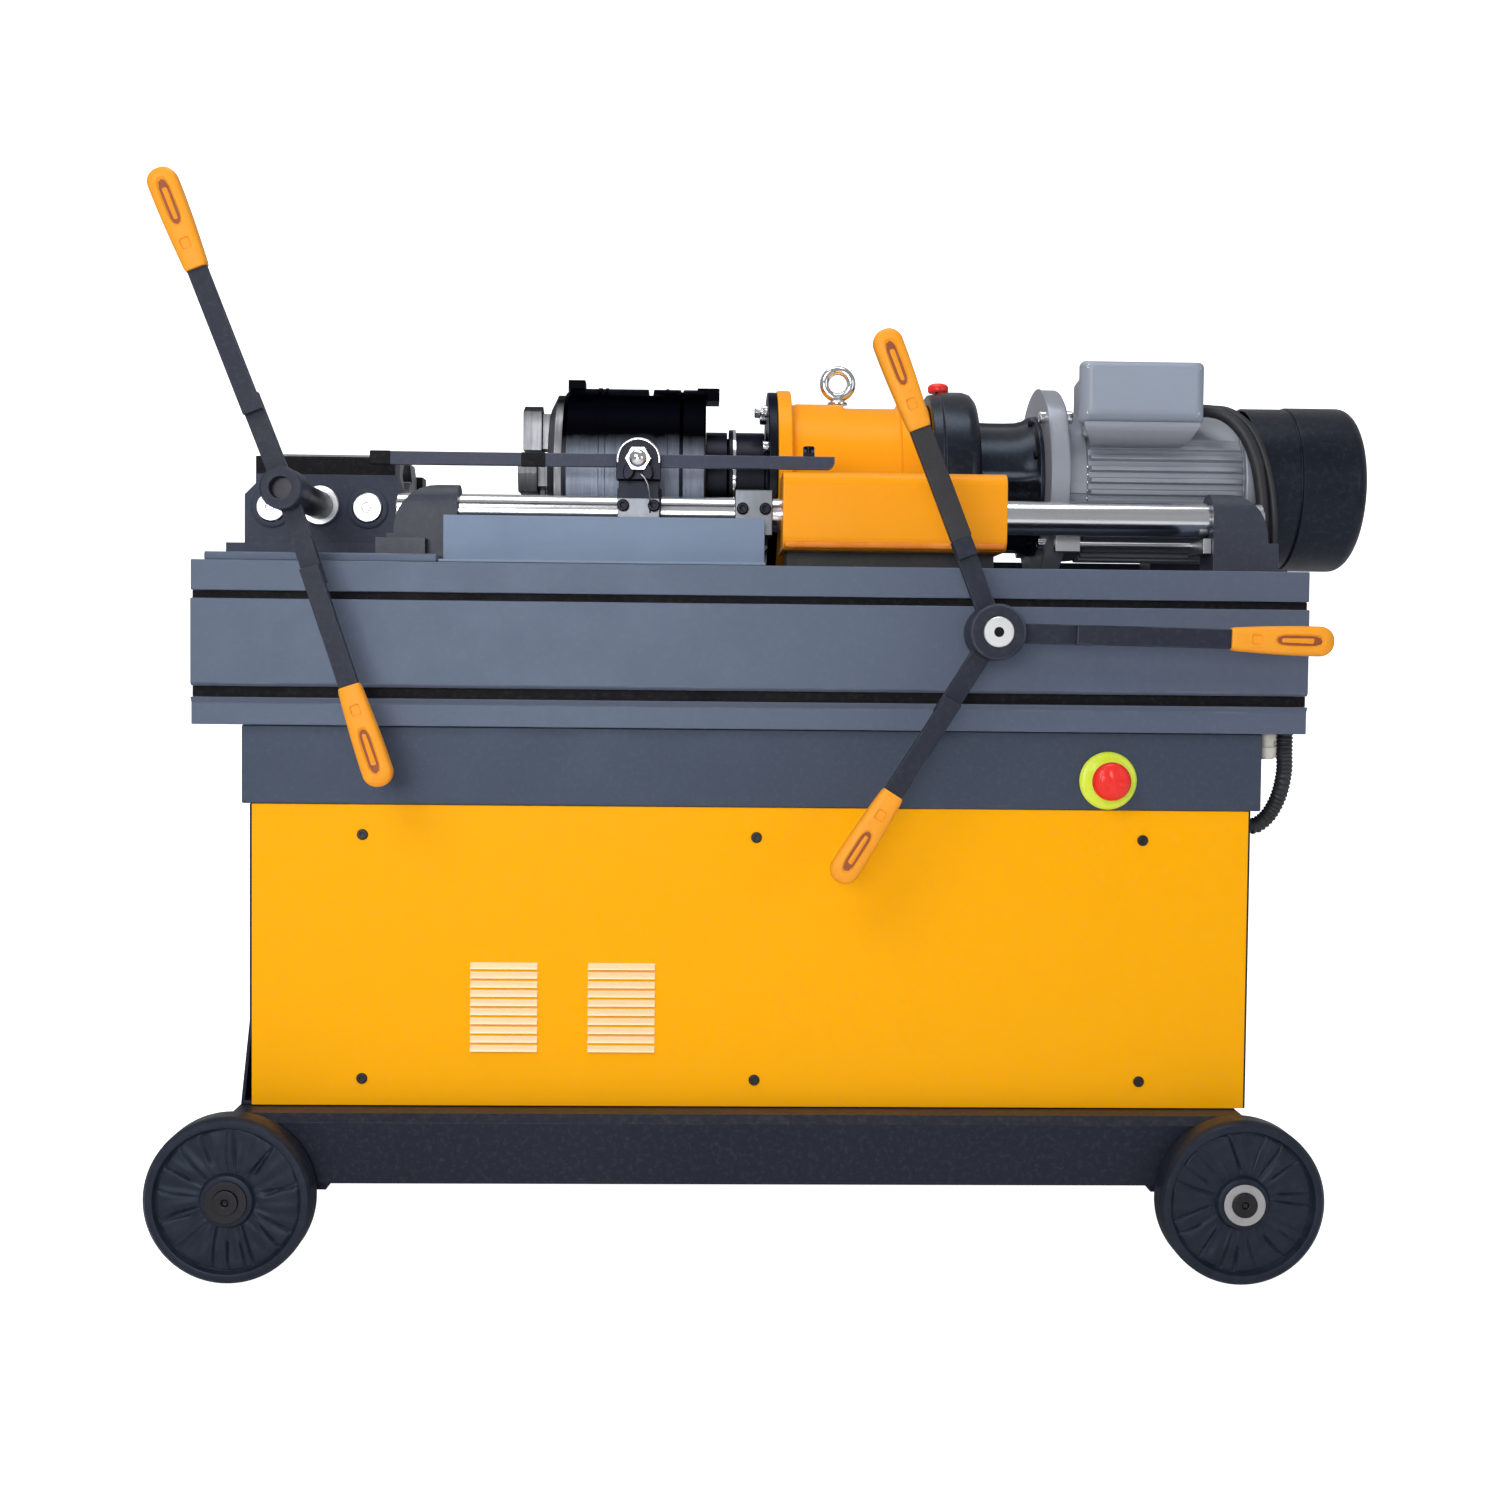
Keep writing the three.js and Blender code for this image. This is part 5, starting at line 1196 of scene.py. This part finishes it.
conduit_rubber = moulded("conduit_rubber", (0.014, 0.015, 0.018), (0.06, 0.062, 0.07), gloss=(0.36, 0.52),
                         grain=0.2)
conduit_route = catmull_rom([(519, -200, 554.4), (519, -200, 536), (519, -200, 514), (514, -200, 490),
                             (504, -200, 470), (491, -200, 458.5), (480.2, -200, 457.5)], 16)
made("ribbed_conduit", built([sheathed(conduit_route, 8.2, 24,
                                       lambda distance: 1 + 0.085 * np.cos(2 * pi * distance / 4.2))], 0.0),
     conduit_rubber, "frame", "black_rubber", "side_conduit")


nylon = moulded("nylon", (0.62, 0.60, 0.54), (0.7, 0.68, 0.62), gloss=(0.4, 0.55), grain=0.1)
gland_profile = [(554.6, 0), (554.6, 9), (548, 9), (548, 7.4), (541, 7.4), (540.5, 9.4), (532, 8.6), (528, 6),
                 (528, 0)]
glands = [revolved(gland_profile, "z", (x, y, 0), 24) for x, y in ((499, -206), (503, -180), (519, -160))]
made("cable_glands", built(glands, 0.3), nylon, "frame", "wheel_plastic")


# ---- Spindle and heads ----
# The hollow spindle carries the thread-rolling head and, on its nose, the peeling head with four knife
# holders. The rolling head is bright below and painted near-black over its upper half, as painted shade and
# a painted dark reflection, split by a slit, with a latch and a stop lug.

def painted_dark_top_surface():
    """Painted shade and a painted dark reflection above a level, and bare turned steel below it, with an
    uneven edge between them.
    """
    group, given, out = node_group("painted_dark_top_surface", [
        ("Upper", "color", (0.02, 0.02, 0.02, 1)), ("Lower", "color", (0.5, 0.5, 0.5, 1)),
        ("Level", "float", 0.84), ("Gloss Low", "float", 0.2), ("Gloss High", "float", 0.35),
    ], [("Color", "color"), ("Roughness", "float"), ("Normal", "vector")])
    where = group.nodes.new("ShaderNodeTexCoord").outputs["Object"]
    split = group.nodes.new("ShaderNodeSeparateXYZ")
    group.links.new(where, split.inputs["Vector"])
    cloud = noise(group, 26.0, 5, where, 0.6)
    stretch = group.nodes.new("ShaderNodeVectorMath")
    stretch.operation = "MULTIPLY"
    stretch.inputs[1].default_value = (14, 1, 1)
    group.links.new(where, stretch.inputs[0])
    streak = noise(group, 26.0, 4, stretch.outputs["Vector"], 0.65)
    level = math_node(group, "SUBTRACT", split.outputs["Z"], given.outputs["Level"])
    level = math_node(group, "ADD", level, remap(group, cloud, 0.3, 0.7, -0.004, 0.004))
    # Above the level the colour turns to Upper: painted shade and a painted dark reflection, not a coat on
    # the steel.
    above = remap(group, level, -0.016, 0.010)
    lower = mixed(group, remap(group, streak, 0.35, 0.70, 0.0, 0.35), given.outputs["Lower"],
                  given.outputs["Upper"])
    tone = mixed(group, above, lower, given.outputs["Upper"])
    gloss = group.nodes.new("ShaderNodeMix")
    group.links.new(remap(group, cloud, 0.3, 0.7), gloss.inputs[0])
    group.links.new(given.outputs["Gloss Low"], gloss.inputs[2])
    group.links.new(given.outputs["Gloss High"], gloss.inputs[3])
    group.links.new(tone, out.inputs["Color"])
    group.links.new(gloss.outputs[0], out.inputs["Roughness"])
    group.links.new(bumped(group, streak, 0.03, 0.0002), out.inputs["Normal"])
    return group


painted_dark_top = painted_dark_top_surface()
# Upper is painted shade and a painted dark reflection on the rolling head's top half.
head_steel = finish_from("head_steel", painted_dark_top, {
    "Upper": (0.002, 0.002, 0.003, 1), "Lower": (0.19, 0.215, 0.27, 1), "Level": 0.862, "Gloss Low": 0.34,
    "Gloss High": 0.46,
}, Metallic=1.0, Specular_Tint=(0.35, 0.36, 0.40, 1))
made("hollow_spindle", softened("spindle_shaft", 0.8, sharp=30), black_oxide, "spindle", "blackened_steel",
     "spindle_shaft")
neck_ring = [(-60.5, 57), (-60.5, 60.6), (-57.2, 60.6), (-57.2, 57)]
made("neck_ring", built([revolved(neck_ring, "x", on_axis, 96)], 0.2), plated, "spindle", "bright_steel")
made("head_drum", softened("rolling_head", 1.0, sharp=30), head_steel, "spindle", "cast_iron", "rolling_head")
bands = []
for x0, x1, r0, r1 in ((-212, -208, 103, 104.9), (-204, -201, 103, 104.9), (-136, -133, 103, 104.8)):
    bands.append(revolved([(x0, r0), (x0, r1), (x1, r1), (x1, r0)], "x", on_axis, 128))
made("head_bands", built(bands, 0.3), head_steel, "spindle", "cast_iron")
knurl = [(-233, 0), (-233, 8), *[(a, 8.6 + 0.9 * (i % 2)) for i, a in enumerate(np.arange(-234, -244, -1.0))],
         (-246, 7), (-246, 0)]
made("latch_knurl", built([revolved(knurl, "x", (0, -12, 925), 36)], 0.0), black_oxide, "spindle",
     "blackened_steel")
# Upper is painted shade and a painted dark reflection on the peeling head's top.
block_steel = finish_from("block_steel", painted_dark_top, {
    "Upper": (0.006, 0.006, 0.008, 1), "Lower": (0.26, 0.265, 0.28, 1), "Level": 0.905, "Gloss Low": 0.36,
    "Gloss High": 0.50,
}, Metallic=1.0, Specular_Tint=(0.5, 0.5, 0.54, 1))
made("peeling_plate", softened("peeling_head", 1.0, sharp=30), block_steel, "spindle", "bright_steel",
     "peeling_head")


# ---- Limit switch ----
# A small die-cast switch on a bent steel arm, which stops the feed at the end of its travel.

switch_alloy = machined("switch_alloy", (0.55, 0.56, 0.58), (0.34, 0.35, 0.37), gloss=(0.3, 0.42), stains=0.3)
made("switch_on_arm", softened("limit_switch", 0.5, sharp=35), switch_alloy, "frame", "motor_alloy",
     "limit_switch")
